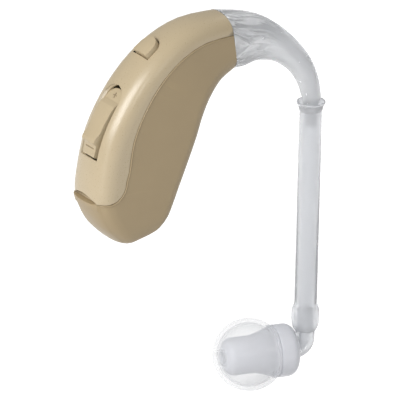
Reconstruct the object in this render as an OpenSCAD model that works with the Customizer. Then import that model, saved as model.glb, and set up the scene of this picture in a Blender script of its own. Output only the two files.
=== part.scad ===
// Behind-the-ear hearing aid with a clear ear hook, sound tube, elbow and silicone ear tip.
// The ear hook's underside, where it rests on the top of the ear, is the origin.
// X runs from the back of the housing to the tube, Z is up, Y is across the housing.

/* [Housing] */
// Length that the housing's outline is drawn to
case_h = 36; // [35:0.5:37.5]
// Width across the housing at its widest
case_t = 9.4; // [9.4:0.1:10]
// Wall of the two moulded covers
wall_t = 1; // [0.9:0.05:1.1]
// Gap along the parting line of the two covers
part_gap = 0.12; // [0.08:0.01:0.2]
// Radius of the back cover's lower corners, seen from the side
cover_corner_r = 3.2; // [2.4:0.1:3.6]

/* [Battery and door] */
// Radius of the button cell
cell_r = 3.95; // [3.8:0.05:4]
// Thickness of the button cell
cell_h = 5.4; // [5:0.1:5.4]
// Room around the cell in its cradle
cell_gap = 0.1; // [0.06:0.02:0.14]
// Wall between the cradle and the back of the chamber
cradle_t = 0.6; // [0.5:0.05:0.8]
// Radius of the door's hinge pin
hinge_pin_r = 0.4; // [0.35:0.05:0.45]
// Wall of the door's knuckle round its pin
knuckle_t = 0.57; // [0.5:0.01:0.6]
// Running clearance of pins in their bores
run_gap = 0.03; // [0.02:0.01:0.04]
// Gap between the door and the cheeks of the housing
door_gap = 0.1; // [0.08:0.01:0.14]
// Width of the nail lip
lip_w = 6.7; // [6:0.1:6.9]
// Height that the nail lip stands out
lip_out = 0.2; // [0.1:0.05:0.5]

/* [Controls] */
// Width of the program button
button_w = 3.8; // [3.4:0.1:4]
// Height that the program button stands out
button_out = 0.45; // [0.2:0.05:0.45]
// Travel of the program button
button_travel = 0.35; // [0.2:0.05:0.4]
// Width of the slot for the volume rocker
slot_w = 4.6; // [4.4:0.1:4.8]
// Width of the volume rocker at its upper end
rocker_w = 4.2; // [4:0.1:4.2]
// Width of the volume rocker at its lower end
rocker_end_w = 3.4; // [3:0.1:3.6]
// Radius of the rocker's pivot pin
pivot_r = 0.4; // [0.35:0.05:0.45]

/* [Ear hook] */
// Bore of the hook's narrow run
hook_bore_r = 0.65; // [0.6:0.05:0.75]
// Bore of the hook's wide chamber
chamber_r = 1.3; // [1.1:0.05:1.35]
// Bend radius of the hook over its tip
bend_r = 11; // [10.5:0.25:11.5]
// Straight run between the hook's two bends
run_l = 5.35; // [5:0.25:5.75]
// Bend radius of the hook behind the ear
back_bend_r = 7.9; // [7.5:0.1:8.2]
// Radius of the threaded nozzle that the hook screws onto
nozzle_r = 1.6; // [1.5:0.05:1.65]
// Length of nozzle that the hook covers
nozzle_l = 3; // [2.6:0.1:3.2]
// Radius of the hook's tip
hook_tip_r = 1.55; // [1.5:0.05:1.6]
// Radius of the nipple below the hook's tip
nipple_r = 0.94; // [0.9:0.01:0.95]

/* [Sound tube] */
// Outer radius of the tube
tube_r = 1.8; // [1.7:0.05:1.85]
// Bore radius of the tube
tube_bore_r = 0.97; // [0.96:0.01:1]
// Length of the tube
tube_l = 39.8; // [36:0.5:42]
// Outer radius of the collar over the hook's tip
collar_r = 2.28; // [2.2:0.02:2.4]
// Length of the collar's taper
collar_l = 2.5; // [2.2:0.1:2.8]
// Outer radius of the swelling over the elbow's spigot
bulb_r = 2.3; // [2.1:0.02:2.4]
// Lean of the tube from upright
tube_lean = 1.4; // [0:0.1:3]

/* [Elbow and ear tip] */
// Outer radius of the elbow
elbow_r = 1.57; // [1.5:0.01:1.6]
// Bore radius of the elbow
elbow_bore_r = 0.7; // [0.6:0.05:0.75]
// Bend radius of the elbow
elbow_bend_r = 1.75; // [1.7:0.05:2]
// Distance from the tube's end to the elbow's bend
elbow_drop = 1.45; // [1.4:0.1:2.4]
// Turn of the ear tip away from straight back
tip_turn = 12; // [0:1:30]
// Radius of the ear tip's dome
dome_r = 5.83; // [5.5:0.05:6.2]
// Skin of the dome
dome_t = 0.7; // [0.6:0.05:0.8]
// Radius of the stem inside the dome
stem_r = 3.05; // [2.8:0.05:3.2]
// Radius of the barrel behind the dome
barrel_r = 4.25; // [4:0.05:4.4]
// Radius of the ear tip's sound bore
outlet_r = 1; // [0.8:0.05:1.1]

/* [Hidden] */

// One overrun serves every cut.
over = 2;
// Gap left where two pieces seat.
seat_gap = 0.05;
// Steps of one rounded side of a section.
arc_n = 11;
// Lofted rings between two stations.
ring_n = 3;

// Ear rest to the hook's tip.
tip_x = 10.7;
tip_drop = 8.75;
// Turns of the hook's two bends.
bend_a = 45;
back_bend_a = 53;

// The hook's centreline, from the tip back to the housing.
bend_c = [tip_x - bend_r, -tip_drop];
run_start = bend_c + bend_r * [cos(bend_a), sin(bend_a)];
run_end = run_start + run_l * [-sin(bend_a), cos(bend_a)];
back_c = run_end - back_bend_r * [cos(bend_a), sin(bend_a)];
back_a = bend_a + back_bend_a;
neck = back_c + back_bend_r * [cos(back_a), sin(back_a)];
seam_dir = [cos(back_a - 90), sin(back_a - 90)];
seam = neck - nozzle_l * seam_dir;

// The button cell's centre and the room that the battery chamber is drawn round.
cell_shares = [-0.525, -0.653];
cell_c = seam + case_h * cell_shares;
chamber = cell_r + cell_gap + cradle_t;

// Housing sections from the bottom to the hook seam. Each has the centre's x and z, the lean in
// degrees, the depth, the width, and the depths of the two rounded sides. Width is a share of
// case_t. Round the battery the rest are shares of the chamber's radius, from the cell's centre.
chamber_shares = [
    [0.250, -1.138, 12, 1.02, 0.68, 0.36, 0.36],
    [0.346, -0.991, 11, 1.68, 0.87, 0.50, 0.48],
    [0.364, -0.689, 10, 2.32, 0.96, 0.62, 0.54],
    [0.279, -0.209, 8, 2.95, 0.99, 0.69, 0.56],
    [0.248, 0.557, 3, 3.55, 1.00, 0.71, 0.56]];
// Above it they are shares of case_h, from the seam.
upper_shares = [
    [-0.462, -0.456, -2, 0.489, 1.00, 0.092, 0.072],
    [-0.423, -0.337, -9, 0.492, 1.00, 0.092, 0.072],
    [-0.370, -0.228, -18, 0.458, 0.99, 0.089, 0.072],
    [-0.298, -0.131, -30, 0.417, 0.96, 0.086, 0.078],
    [-0.211, -0.059, -46, 0.373, 0.90, 0.083, 0.083],
    [-0.117, -0.017, -64, 0.325, 0.83, 0.081, 0.089],
    [0, 0, -82, 0.264, 0.766, 0.078, 0.092]];
// Depth of the parting line below the back, as shares of each station's depth.
part_shares = [0.3, 0.3, 0.3, 0.3, 0.29, 0.285, 0.253, 0.24, 0.236, 0.245, 0.268, 0.3];
// Hook sections after the seam: centre x and z from the tip, lean, depth and width.
// They are shares of bend_r but for the lean.
hook_shares = [
    [-1.238, 1.172, -91, 0.808, 0.609],
    [-0.975, 1.124, -105, 0.674, 0.545],
    [-0.728, 1.003, -122, 0.555, 0.473],
    [-0.473, 0.829, -137, 0.442, 0.418],
    [-0.221, 0.562, -151, 0.362, 0.373],
    [-0.069, 0.274, -166, 0.306, 0.336]];

station_rows = concat(
    [for (r = chamber_shares) [cell_c.x + r[0] * chamber, cell_c.y + r[1] * chamber, r[2],
        r[3] * chamber, r[4] * case_t, r[5] * chamber, r[6] * chamber]],
    [for (r = upper_shares) [seam.x + r[0] * case_h, seam.y + r[1] * case_h, r[2],
        r[3] * case_h, r[4] * case_t, r[5] * case_h, r[6] * case_h]]);
top_s = len(station_rows) - 1;

function blend(a, b, c, d, t) =
    0.5 * (2 * b + (c - a) * t + (2 * a - 5 * b + 4 * c - d) * t * t + (3 * b - a - 3 * c + d) * t * t * t);
function pick(list, s) =
    let(n = len(list) - 1, i = min(floor(s), n - 1), t = s - i)
    blend(list[max(i - 1, 0)], list[i], list[i + 1], list[min(i + 2, n)], t);
function station(s) = pick(station_rows, s);
function at(r, u) = [r[0] + u * cos(r[2]), r[1] + u * sin(r[2])];
// A point at a depth below the back.
function back_at(s, depth) = let(r = station(s)) at(r, depth - r[3] / 2);
function front_at(s, depth) = let(r = station(s)) at(r, r[3] / 2 - depth);
function back_dir(s) =
    let(e = 0.25, d = back_at(min(s + e, top_s), 0) - back_at(s - e, 0)) atan2(d.y, d.x);
function part_at(s, g) = let(r = station(s)) at(r, (pick(part_shares, s) - 0.5) * r[3] + g);

// One section, drawn inside the outline by g.
function rounded(b, h, n) =
    [for (k = [0:arc_n]) let(q = 180 * k / arc_n - 90)
        [b * (1 - pow(abs(cos(q)), 2 / n)), h * sign(sin(q)) * pow(abs(sin(q)), 2 / n)]];
function section(r, g, n) =
    let(d = r[3] / 2 - g, h = r[4] / 2 - g, b = max(r[5] - g, h / 4), f = max(r[6] - g, h / 4),
        back = rounded(b, h, n), front = rounded(f, h, n))
    concat([for (p = back) [p.x - d, p.y]],
        [for (k = [arc_n:-1:0]) [d - front[k].x, front[k].y]]);
function ring(r, g, n) =
    [for (p = section(r, g, n)) let(q = at(r, p.x)) [q.x, p.y, q.y]];

// A closed skin through rings of equal count.
module loft(rings) {
    n = len(rings[0]);
    m = len(rings);
    points = [for (r = rings) for (p = r) p];
    sides = [for (j = [0:m - 2]) for (i = [0:n - 1])
        let(a = j * n + i, b = j * n + (i + 1) % n, c = a + n, d = b + n)
        each [[a, b, d], [a, d, c]]];
    bottom = [[for (i = [n - 1:-1:0]) i]];
    top = [[for (i = [0:n - 1]) (m - 1) * n + i]];
    polyhedron(points, concat(sides, bottom, top), convexity = 6);
}
// The same round a bore: the rings run down the outside and back up the bore.
module sleeve(rings) {
    n = len(rings[0]);
    m = len(rings);
    polyhedron([for (r = rings) for (p = r) p],
        [for (j = [0:m - 1]) for (i = [0:n - 1])
            let(a = j * n + i, b = j * n + (i + 1) % n, c = (j + 1) % m * n + i,
                d = (j + 1) % m * n + (i + 1) % n)
            each [[a, b, d], [a, d, c]]],
        convexity = 6);
}
module housing(g, s0, s1) {
    steps = round((s1 - s0) * ring_n);
    loft([for (j = [0:steps]) ring(station(s0 + (s1 - s0) * j / steps), g, 2.5)]);
}
// A plate with its outline in X and Z, from y0 to y1.
module plate(outline, y0, y1) {
    translate([0, y1, 0])
        rotate([90, 0, 0])
            linear_extrude(y1 - y0)
                polygon(outline);
}
// A round bar along Y.
module bar(c, r, y0, y1) {
    translate([c.x, y1, c.y])
        rotate([90, 0, 0])
            cylinder(r = r, h = y1 - y0, $fn = 48);
}
// Children stand on the back: X along it to the hook, Z outward, at a depth below it.
module on_back(s, depth) {
    p = back_at(s, depth);
    translate([p.x, 0, p.y])
        rotate([0, -back_dir(s), 0])
            children();
}
module box(size, lift) {
    translate([0, 0, lift])
        cube(size, center = true);
}

// The back cover's outline from the side, grown by g.
cover_low_z = cell_c.y + 0.52 * chamber;
function cover_outline(g) =
    let(c = [part_at(4.5, 0).x - cover_corner_r, cover_low_z + cover_corner_r])
    concat(
        [part_at(top_s, g) + over * seam_dir],
        [for (s = [top_s:-0.5:5]) part_at(s, g)],
        [for (a = [0:-15:-90]) c + (cover_corner_r + g) * [cos(a), sin(a)]],
        [[back_at(4, 0).x - over, cover_low_z - g]],
        [for (s = [4.5:0.5:top_s]) back_at(s, -over)],
        [back_at(top_s, -over) + over * seam_dir]);

// The battery chamber.
hinge_shares = [1.239, -0.263];
hinge_c = cell_c + chamber * hinge_shares;
knuckle_r = hinge_pin_r + run_gap + knuckle_t;
door_half = cell_h / 2 + cell_gap + cradle_t + seat_gap;
door_top_z = cover_low_z - part_gap;
door_sill_z = hinge_c.y + knuckle_r * 0.7;
door_back_x = cell_c.x - cell_r - cell_gap - cradle_t;
door_low_z = station(0)[1] - over;
door_outline = [
    [back_at(4, 0).x - over, door_top_z],
    [door_back_x, door_top_z],
    [door_back_x, door_sill_z],
    [hinge_c.x - knuckle_r * 0.7, door_sill_z],
    hinge_c,
    [hinge_c.x, door_low_z],
    [back_at(4, 0).x - over, door_low_z]];
door_opening = [
    [back_at(4, 0).x - 2 * over, cover_low_z],
    [door_back_x + door_gap, cover_low_z],
    [door_back_x + door_gap, door_sill_z + knuckle_r * 0.5],
    [front_at(3, 0).x + over, door_sill_z + knuckle_r * 0.5],
    [front_at(3, 0).x + over, door_low_z - over],
    [back_at(4, 0).x - 2 * over, door_low_z - over]];

// Controls on the back.
button_share = 8.67;
button_depth = 1.45 * wall_t;
rocker_low_share = 5.4;
rocker_top_share = 7.42;
pivot_share = 6.4;
pivot_depth = 2.9 * wall_t;
pivot_c = back_at(pivot_share, pivot_depth);
board_depth = 3.9 * wall_t;
board_t = 0.4;
board_shares = [5.3, 6.35, 7.35, 8.9];
frame_in = 2.55;
frame_t = 0.6;
frame_out = frame_in + frame_t;
board_w = 2 * (frame_in - 0.15);

module slot_plan(w, end_w, s0, s1, grow) {
    a = back_at(s0, 0);
    b = back_at(s1, 0);
    l = norm(b - a);
    mid = (a + b) / 2;
    turn = atan2(b.y - a.y, b.x - a.x);
    translate([mid.x, 0, mid.y])
        rotate([0, -turn, 0])
            translate([0, 0, -board_depth - over])
                linear_extrude(board_depth + 4 * over) {
                    polygon([[-l / 2 - grow, -end_w / 2], [l / 2 - w / 2, -w / 2],
                        [l / 2 - w / 2, w / 2], [-l / 2 - grow, end_w / 2]]);
                    translate([l / 2 - w / 2, 0])
                        circle(r = w / 2, $fn = 48);
                }
}
module d_plan(w, h, z0) {
    translate([0, 0, z0])
        linear_extrude(h) {
            translate([-w * 0.42, -w / 2])
                square([w * 0.42, w]);
            intersection() {
                circle(r = w / 2, $fn = 48);
                translate([0, -w / 2])
                    square([w, w]);
            }
        }
}
module lip_place() {
    p = back_at(3.78, 0);
    translate([p.x, 0, door_top_z])
        children();
}

module spine_cover() {
    color([0.84, 0.76, 0.64])
        difference() {
            intersection() {
                difference() {
                    housing(0, 3, top_s);
                    housing(wall_t, 2.5, top_s - 0.3);
                }
                plate(cover_outline(0), -case_t, case_t);
            }
            slot_plan(slot_w, slot_w, rocker_low_share - 0.05, rocker_top_share + 0.05, 0);
            on_back(button_share, 0)
                d_plan(button_w + 3.2 * door_gap, 2 * over + wall_t, -over - wall_t);
            // Finger scoop over the nail lip.
            lip_place()
                translate([-over, 0, -lip_w * 0.59])
                    rotate([0, 90, 0])
                        cylinder(r = lip_w * 0.77, h = over + wall_t * 0.55, $fn = 96);
            // Two sound ports of the microphone, on the far side.
            for (k = [0, 1])
                on_back(9.55 + k * 0.4, port_depth)
                    rotate([-90, 0, 0])
                        cylinder(r = 0.35 * wall_t, h = case_t, $fn = 24);
        }
}

module body_shell() {
    color([0.66, 0.58, 0.47])
        difference() {
            housing(0, 0, top_s);
            housing(wall_t, 1.2, top_s - 0.3);
            plate(cover_outline(part_gap), -case_t, case_t);
            plate(door_opening, -door_half - door_gap, door_half + door_gap);
            bar(hinge_c, hinge_pin_r + run_gap, -door_half - door_gap - cradle_t,
                door_half + door_gap + cradle_t);
            nozzle_place()
                cylinder(r = nozzle_r + run_gap, h = 4 * over, center = true, $fn = 48);
        }
}

// The nozzle's axis, with Z running into the hook from the seam.
module nozzle_place() {
    translate([seam.x, 0, seam.y])
        rotate([0, 90 - (back_a - 90), 0])
            children();
}

// Chassis: two side plates joined by cross bars, with pads that seat it in the covers.
bulkhead_z = cell_c.y + cell_r + 1.05 * wall_t;
bulkhead_t = 0.6;
bulkhead_x = [cell_c.x - 2.2 * wall_t, front_at(4.6, 3.2 * wall_t).x];
// Stations of the pads, which reach the covers' inner faces.
pad_shares = [5.3, 6.7, 8.2];
module frame_pad(s) {
    p = front_at(s, 4.6 * wall_t);
    narrow = min(station(s - 0.3)[4], station(s + 0.3)[4]);
    h = narrow / 2 - wall_t - seat_gap - frame_in - frame_t / 2;
    translate([p.x, frame_in + frame_t / 2, p.y])
        rotate([-90, 0, 0])
            cylinder(r = wall_t, h = h, $fn = 32);
}
module inner_frame() {
    low = 5;
    high = 8.6;
    side = concat(
        [for (s = [low:0.4:high]) back_at(s, board_depth)],
        [for (s = [high:-0.4:low]) front_at(s, 3.2 * wall_t)]);
    color([0.3, 0.31, 0.33]) {
        difference() {
            union() {
                for (m = [0, 1])
                    mirror([0, m, 0]) {
                        plate(side, frame_in, frame_out);
                        plate([[bulkhead_x[0], bulkhead_z], [bulkhead_x[1], bulkhead_z],
                            front_at(5.1, 3.2 * wall_t), back_at(5.1, board_depth)], frame_in, frame_out);
                        // Ear of the rocker's pivot.
                        bar(pivot_c, pivot_r + 0.5 * wall_t, frame_in, frame_out);
                        plate([pivot_c + [0, pivot_r], pivot_c - [0, pivot_r],
                            back_at(pivot_share, board_depth + wall_t) - [0, 1.5 * wall_t],
                            back_at(pivot_share, board_depth + wall_t) + [0, 1.5 * wall_t]], frame_in,
                                frame_out);
                        // Seating pads.
                        for (s = pad_shares)
                            frame_pad(s);
                    }
                // Roof of the battery chamber.
                plate([[bulkhead_x[0], bulkhead_z], [bulkhead_x[1], bulkhead_z],
                    [bulkhead_x[1], bulkhead_z + bulkhead_t], [bulkhead_x[0], bulkhead_z + bulkhead_t]],
                    -frame_out, frame_out);
                // Cross bar at the top, and the post that holds the telecoil.
                bar(front_at(8.5, 4 * wall_t), 0.5 * wall_t, -frame_out, frame_out);
                translate([coil_c.x + coil_r + seat_gap, -0.8 * wall_t, bulkhead_z])
                    cube([0.6 * wall_t, 1.6 * wall_t, bulkhead_t + coil_l / 2]);
            }
            for (m = [0, 1])
                mirror([0, m, 0])
                    bar(pivot_c, pivot_r + run_gap / 2, frame_in - over, frame_out + over);
        }
        // Ledges under the circuit board.
        for (m = [0, 1])
            mirror([0, m, 0])
                for (k = [0, 1, 2])
                    board_place(k, 0.5)
                        translate([-0.6 * wall_t, board_w / 2 - 0.5 * wall_t,
                            -board_t - seat_gap - 0.6 * wall_t])
                            cube([1.2 * wall_t, 0.5 * wall_t + frame_in - board_w / 2 + frame_t / 2,
                                0.6 * wall_t]);
    }
}
// Rigid-flex circuit board in three runs. Each run's frame has X along it and Z to the back.
function board_pt(k) = back_at(board_shares[k], board_depth);
function board_turn(k) = let(d = board_pt(k + 1) - board_pt(k)) atan2(d.y, d.x);
module board_place(k, f) {
    p = board_pt(k) + f * (board_pt(k + 1) - board_pt(k));
    translate([p.x, 0, p.y])
        rotate([0, -board_turn(k), 0])
            children();
}
module circuit_board() {
    under = [for (k = [0:3])
        let(a = board_turn(max(k - 1, 0)), b = board_turn(min(k, 2)), m = (a + b) / 2)
        board_pt(k) + board_t / cos((a - b) / 2) * [sin(m), -cos(m)]];
    color([0.16, 0.42, 0.25])
        plate(concat([for (k = [0:3]) board_pt(k)], [for (k = [3:-1:0]) under[k]]), -board_w / 2,
            board_w / 2);
}
module amplifier_chip() {
    color([0.13, 0.13, 0.15])
        board_place(1, 0.5)
            translate([0, 0, -board_t - chip_t])
                translate([-1.6 * wall_t, -1.4 * wall_t, 0])
                    cube([3.2 * wall_t, 2.8 * wall_t, chip_t]);
}
chip_t = 1.1;
module board_components() {
    spots = [[0, 0.28, -1.1], [0, 0.28, 0.7], [2, 0.3, -0.9], [2, 0.3, 0.9], [2, 0.75, 0]];
    color([0.55, 0.47, 0.36])
        for (p = spots)
            board_place(p[0], p[1])
                translate([-0.5 * wall_t, (p[2] - 0.35) * wall_t, -board_t - 0.6 * wall_t])
                    cube([wall_t, 0.7 * wall_t, 0.6 * wall_t]);
}

module program_button() {
    color([0.8, 0.72, 0.6])
        on_back(button_share, 0) {
            intersection() {
                d_plan(button_w, button_depth + button_out, -button_depth);
                // Crowned like the cover.
                translate([0, 0, button_out - 9 * wall_t])
                    rotate([0, 90, 0])
                        cylinder(r = 9 * wall_t, h = 3 * button_w, center = true, $fn = 96);
            }
            // Flange that keeps the button in, and the stem over its switch.
            d_plan(button_w + 0.4 * wall_t, 0.35 * wall_t, -button_depth - 0.35 * wall_t);
            translate([0, 0, -stem_low])
                cylinder(r = 0.6 * wall_t, h = stem_low - button_depth, $fn = 32);
        }
}
stem_low = 2.85 * wall_t;
switch_t = 0.6;
module button_switch() {
    dome = board_depth - switch_t - stem_low - button_travel - seat_gap;
    color([0.75, 0.76, 0.78])
        board_place(2, button_f) {
            translate([-1.5 * wall_t, -1.5 * wall_t, 0])
                cube([3 * wall_t, 3 * wall_t, switch_t]);
            translate([0, 0, switch_t / 2])
                cylinder(r = 0.7 * wall_t, h = switch_t / 2 + dome, $fn = 32);
        }
}
// How far along its run of the board the button stands.
button_f = let(a = board_pt(2), b = board_pt(3), p = back_at(button_share, board_depth) - a)
    (p * (b - a)) / ((b - a) * (b - a));

// Rocker: sunken upper end, raised grip near the lower end.
rocker_face_shares = [[7.45, -0.75], [7.2, -0.72], [7.02, -0.66], [6.9, -0.14], [6.75, -0.02],
    [6.4, 0.08], [6.12, 0.15], [6.03, 0.45], [5.93, 0.72], [5.83, 0.74], [5.77, 0.15], [5.7, -0.02],
    [5.5, -0.05], [5.36, -0.07]];
module volume_rocker() {
    face = [for (p = rocker_face_shares) back_at(p[0], -p[1] * wall_t)];
    base = [for (s = [5.36, 5.8, 6.3, 6.8, 7.45]) back_at(s, 1.75 * wall_t)];
    color([0.8, 0.72, 0.6])
        difference() {
            union() {
                intersection() {
                    plate(concat(face, base), -slot_w, slot_w);
                    slot_plan(rocker_w, rocker_end_w, rocker_low_share + 0.01, rocker_top_share - 0.04, 0);
                }
                rocker_lug();
            }
            bar(pivot_c, pivot_r + run_gap, -case_t, case_t);
        }
}
module rocker_lug() {
    w = 1.6 * wall_t;
    up = back_at(pivot_share, wall_t) - pivot_c;
    side = [up.y, -up.x] / norm(up) * (pivot_r + 0.35 * wall_t);
    bar(pivot_c, pivot_r + 0.35 * wall_t, -w, w);
    plate([pivot_c + side, pivot_c - side, pivot_c - side + up, pivot_c + side + up], -w, w);
}
module rocker_pivot_pin() {
    color([0.78, 0.79, 0.81])
        bar(pivot_c, pivot_r, -frame_out, frame_out);
}
module rocker_switches() {
    color([0.75, 0.76, 0.78])
        for (p = [[0, 0.35], [1, 0.8]])
            board_place(p[0], p[1]) {
                translate([-wall_t, -1.2 * wall_t, 0])
                    cube([2 * wall_t, 2.4 * wall_t, switch_t]);
                cylinder(r = 0.6 * wall_t, h = switch_t + 0.7 * wall_t, $fn = 32);
            }
}

// Microphone under the top of the back cover, with its sleeve.
mic_shares = [0.1, 0.34, 0.055];
mic = [mic_shares[0] * case_h, mic_shares[1] * case_t, mic_shares[2] * case_h];
mic_depth = 2.95 * wall_t;
port_depth = mic_depth - 0.3 * wall_t;
sleeve_t = 0.35;
module microphone() {
    color([0.8, 0.8, 0.82])
        on_back(9.75, mic_depth)
            box(mic, 0);
}
module microphone_boot() {
    color([0.2, 0.2, 0.21])
        on_back(9.75, mic_depth)
            difference() {
                union() {
                    box(mic + 2 * sleeve_t * [0, 1, 1], 0);
                    // Spout towards the sound ports.
                    translate([0, mic.y / 2, 0.3 * wall_t])
                        rotate([-90, 0, 0])
                            cylinder(r = 0.75 * wall_t, h = 0.9 * wall_t, $fn = 32);
                }
                box(mic + [over, 0, 0] + 0.04 * wall_t * [1, 1, 1], 0);
                translate([0, 0, 0.3 * wall_t])
                    rotate([-90, 0, 0])
                        cylinder(r = 0.35 * wall_t, h = case_t, $fn = 32);
            }
}

// Receiver, hung in a soft sleeve, and its tube to the nozzle.
receiver_shares = [0.22, 0.155, 0.436];
receiver_size = [receiver_shares[0] * case_h, receiver_shares[1] * case_h, receiver_shares[2] * case_t];
feed_r = 0.95;
feed_bore_r = 0.5;
feed_share = 0.208;
feed_bend_r = feed_share * case_h;
feed_turn = 62;
tail_l = 3;
tail_r = 1.3;
boot_front = 1.2;
module receiver_place() {
    // The feed tube turns down from the nozzle's tail.
    c = seam - tail_l * seam_dir + feed_bend_r * [seam_dir.y, -seam_dir.x];
    a = back_a - 90 + feed_turn;
    p = c + feed_bend_r * [-sin(a), cos(a)];
    translate([p.x, 0, p.y])
        rotate([0, -a, 0])
            children();
}
module receiver() {
    color([0.72, 0.73, 0.76])
        receiver_place()
            translate([-boot_front - receiver_size.x, -receiver_size.z / 2, -receiver_size.y / 2])
                cube([receiver_size.x, receiver_size.z, receiver_size.y]);
}
module receiver_boot() {
    color([0.22, 0.22, 0.24])
        receiver_place()
            difference() {
                translate([-boot_front - 0.8 * receiver_size.x, -receiver_size.z / 2 - sleeve_t,
                    -receiver_size.y / 2 - sleeve_t])
                    cube([0.8 * receiver_size.x + boot_front - seat_gap, receiver_size.z + 2 * sleeve_t,
                        receiver_size.y + 2 * sleeve_t]);
                translate([-boot_front - receiver_size.x - over, -receiver_size.z / 2 - seat_gap / 2,
                    -receiver_size.y / 2 - seat_gap / 2])
                    cube([receiver_size.x + over + seat_gap, receiver_size.z + seat_gap,
                        receiver_size.y + seat_gap]);
                rotate([0, -90, 0])
                    cylinder(r = feed_bore_r, h = 2 * boot_front, center = true, $fn = 32);
            }
}
module receiver_tube() {
    a = back_a - 90;
    c = seam - tail_l * seam_dir + feed_bend_r * [seam_dir.y, -seam_dir.x];
    color([0.7, 0.7, 0.72])
        translate([c.x, 0, c.y])
            rotate([90, 0, 0])
                rotate([0, 0, a + 90])
                    rotate_extrude(angle = feed_turn, $fn = 96)
                        translate([feed_bend_r, 0])
                            difference() {
                                circle(r = feed_r, $fn = 32);
                                circle(r = feed_bore_r, $fn = 32);
                            }
}
module hook_nozzle() {
    color([0.62, 0.63, 0.65])
        nozzle_place()
            difference() {
                union() {
                    translate([0, 0, -wall_t])
                        cylinder(r = nozzle_r, h = wall_t + nozzle_l, $fn = 48);
                    translate([0, 0, -tail_l + seat_gap])
                        cylinder(r = tail_r, h = tail_l, $fn = 48);
                    // Shoulder behind the housing's end wall.
                    translate([0, 0, -tail_l + seat_gap])
                        cylinder(r = nozzle_r + 0.5 * wall_t, h = 0.7 * wall_t, $fn = 48);
                }
                translate([0, 0, -tail_l - over])
                    cylinder(r = feed_bore_r, h = tail_l + nozzle_l + 2 * over, $fn = 32);
            }
}

// Telecoil, upright on the roof of the battery chamber.
coil_r = 0.65;
coil_share = 0.153;
coil_l = coil_share * case_h;
coil_c = [cell_c.x + 2.3 * wall_t, bulkhead_z + bulkhead_t + seat_gap + coil_l / 2];
module coil_place() {
    translate([coil_c.x, 0, coil_c.y])
        children();
}
module telecoil() {
    color([0.72, 0.4, 0.2])
        coil_place()
            union() {
                cylinder(r = coil_r - 0.15 * wall_t, h = coil_l, center = true, $fn = 32);
                for (k = [-1, 1])
                    translate([0, 0, k * (coil_l / 2 - 0.3 * wall_t)])
                        cylinder(r = coil_r, h = 0.6 * wall_t, center = true, $fn = 32);
                cylinder(r = coil_r - 0.05 * wall_t, h = coil_l - 2 * wall_t, center = true, $fn = 32);
            }
}

// Battery contacts.
leaf_t = 0.2;
module positive_contact() {
    r0 = cell_r + 0.1 * wall_t;
    r1 = r0 + leaf_t;
    foot = [cell_c.x + 0.3 * wall_t, bulkhead_z];
    arc0 = [for (a = [78:6:108]) cell_c + r0 * [cos(a), sin(a)]];
    arc1 = [for (a = [108:-6:96]) cell_c + r1 * [cos(a), sin(a)]];
    color([0.83, 0.68, 0.35])
        plate(concat(arc0, arc1, [foot, foot + [leaf_t, 0], cell_c + r1 * [cos(90), sin(90)],
            cell_c + r1 * [cos(78), sin(78)]]), -wall_t, wall_t);
}
module negative_contact() {
    y = cell_h / 2 + seat_gap;
    color([0.83, 0.68, 0.35])
        translate([cell_c.x - 0.8 * wall_t, y, cell_c.y + 0.3 * wall_t])
            cube([1.6 * wall_t, leaf_t, bulkhead_z - cell_c.y - 0.3 * wall_t]);
}

module battery_door() {
    color([0.84, 0.76, 0.64])
        difference() {
            union() {
                intersection() {
                    housing(0, 0, 5);
                    union() {
                        plate(door_outline, -door_half, door_half);
                        bar(hinge_c, knuckle_r, -door_half, door_half);
                    }
                }
                // Nail lip, which follows the back's crown.
                intersection() {
                    housing(-lip_out, 2, 5);
                    lip_place()
                        plate([[-over, 0], [wall_t, 0], [wall_t, -1.2 * wall_t],
                            [-over, -0.75 * wall_t]], -lip_w / 2, lip_w / 2);
                }
            }
            bar(hinge_c, hinge_pin_r + run_gap, -case_t, case_t);
            bar(cell_c, cell_r + cell_gap, -cell_h / 2 - cell_gap, cell_h / 2 + cell_gap);
        }
}
module door_hinge_pin() {
    l = door_half + door_gap + cradle_t - seat_gap;
    color([0.78, 0.79, 0.81])
        bar(hinge_c, hinge_pin_r, -l, l);
}

// Button cell: can, sealing ring and cap. The flat face of the can has air holes.
rim_t = 0.35;
cap_r_share = 0.82;
module cell_place() {
    translate([cell_c.x, cell_h / 2, cell_c.y])
        rotate([90, 0, 0])
            children();
}
module battery_can() {
    inner = cell_r * cap_r_share + rim_t / 2;
    color([0.75, 0.76, 0.78])
        cell_place()
            difference() {
                rotate_extrude($fn = 96)
                    polygon([[inner, 0.15 * cell_h], [cell_r - rim_t, 0.06 * cell_h], [cell_r, 0.12 * cell_h],
                        [cell_r, 0.94 * cell_h], [cell_r - rim_t, cell_h], [0, cell_h], [0, cell_h - rim_t],
                        [cell_r - rim_t, cell_h - rim_t], [cell_r - rim_t, 0.3 * cell_h],
                        [inner, 0.3 * cell_h]]);
                for (a = [45:90:315])
                    rotate([0, 0, a])
                        translate([cell_r / 2, 0, cell_h - rim_t - over])
                            cylinder(r = 0.05 * cell_r, h = rim_t + 2 * over, $fn = 16);
            }
}
module battery_grommet() {
    cap = cell_r * cap_r_share - rim_t / 2;
    color([0.25, 0.35, 0.55])
        cell_place()
            rotate_extrude($fn = 96)
                polygon([[cap, 0.1 * cell_h], [cell_r * cap_r_share + rim_t / 2, 0.1 * cell_h],
                    [cell_r * cap_r_share + rim_t / 2, 0.3 * cell_h], [cap, 0.3 * cell_h]]);
}
module battery_cap() {
    cap = cell_r * cap_r_share - rim_t / 2;
    color([0.82, 0.83, 0.85])
        cell_place()
            rotate_extrude($fn = 96)
                polygon([[0, 0], [cap - rim_t, 0], [cap, rim_t], [cap, 0.3 * cell_h], [0, 0.3 * cell_h]]);
}

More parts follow.
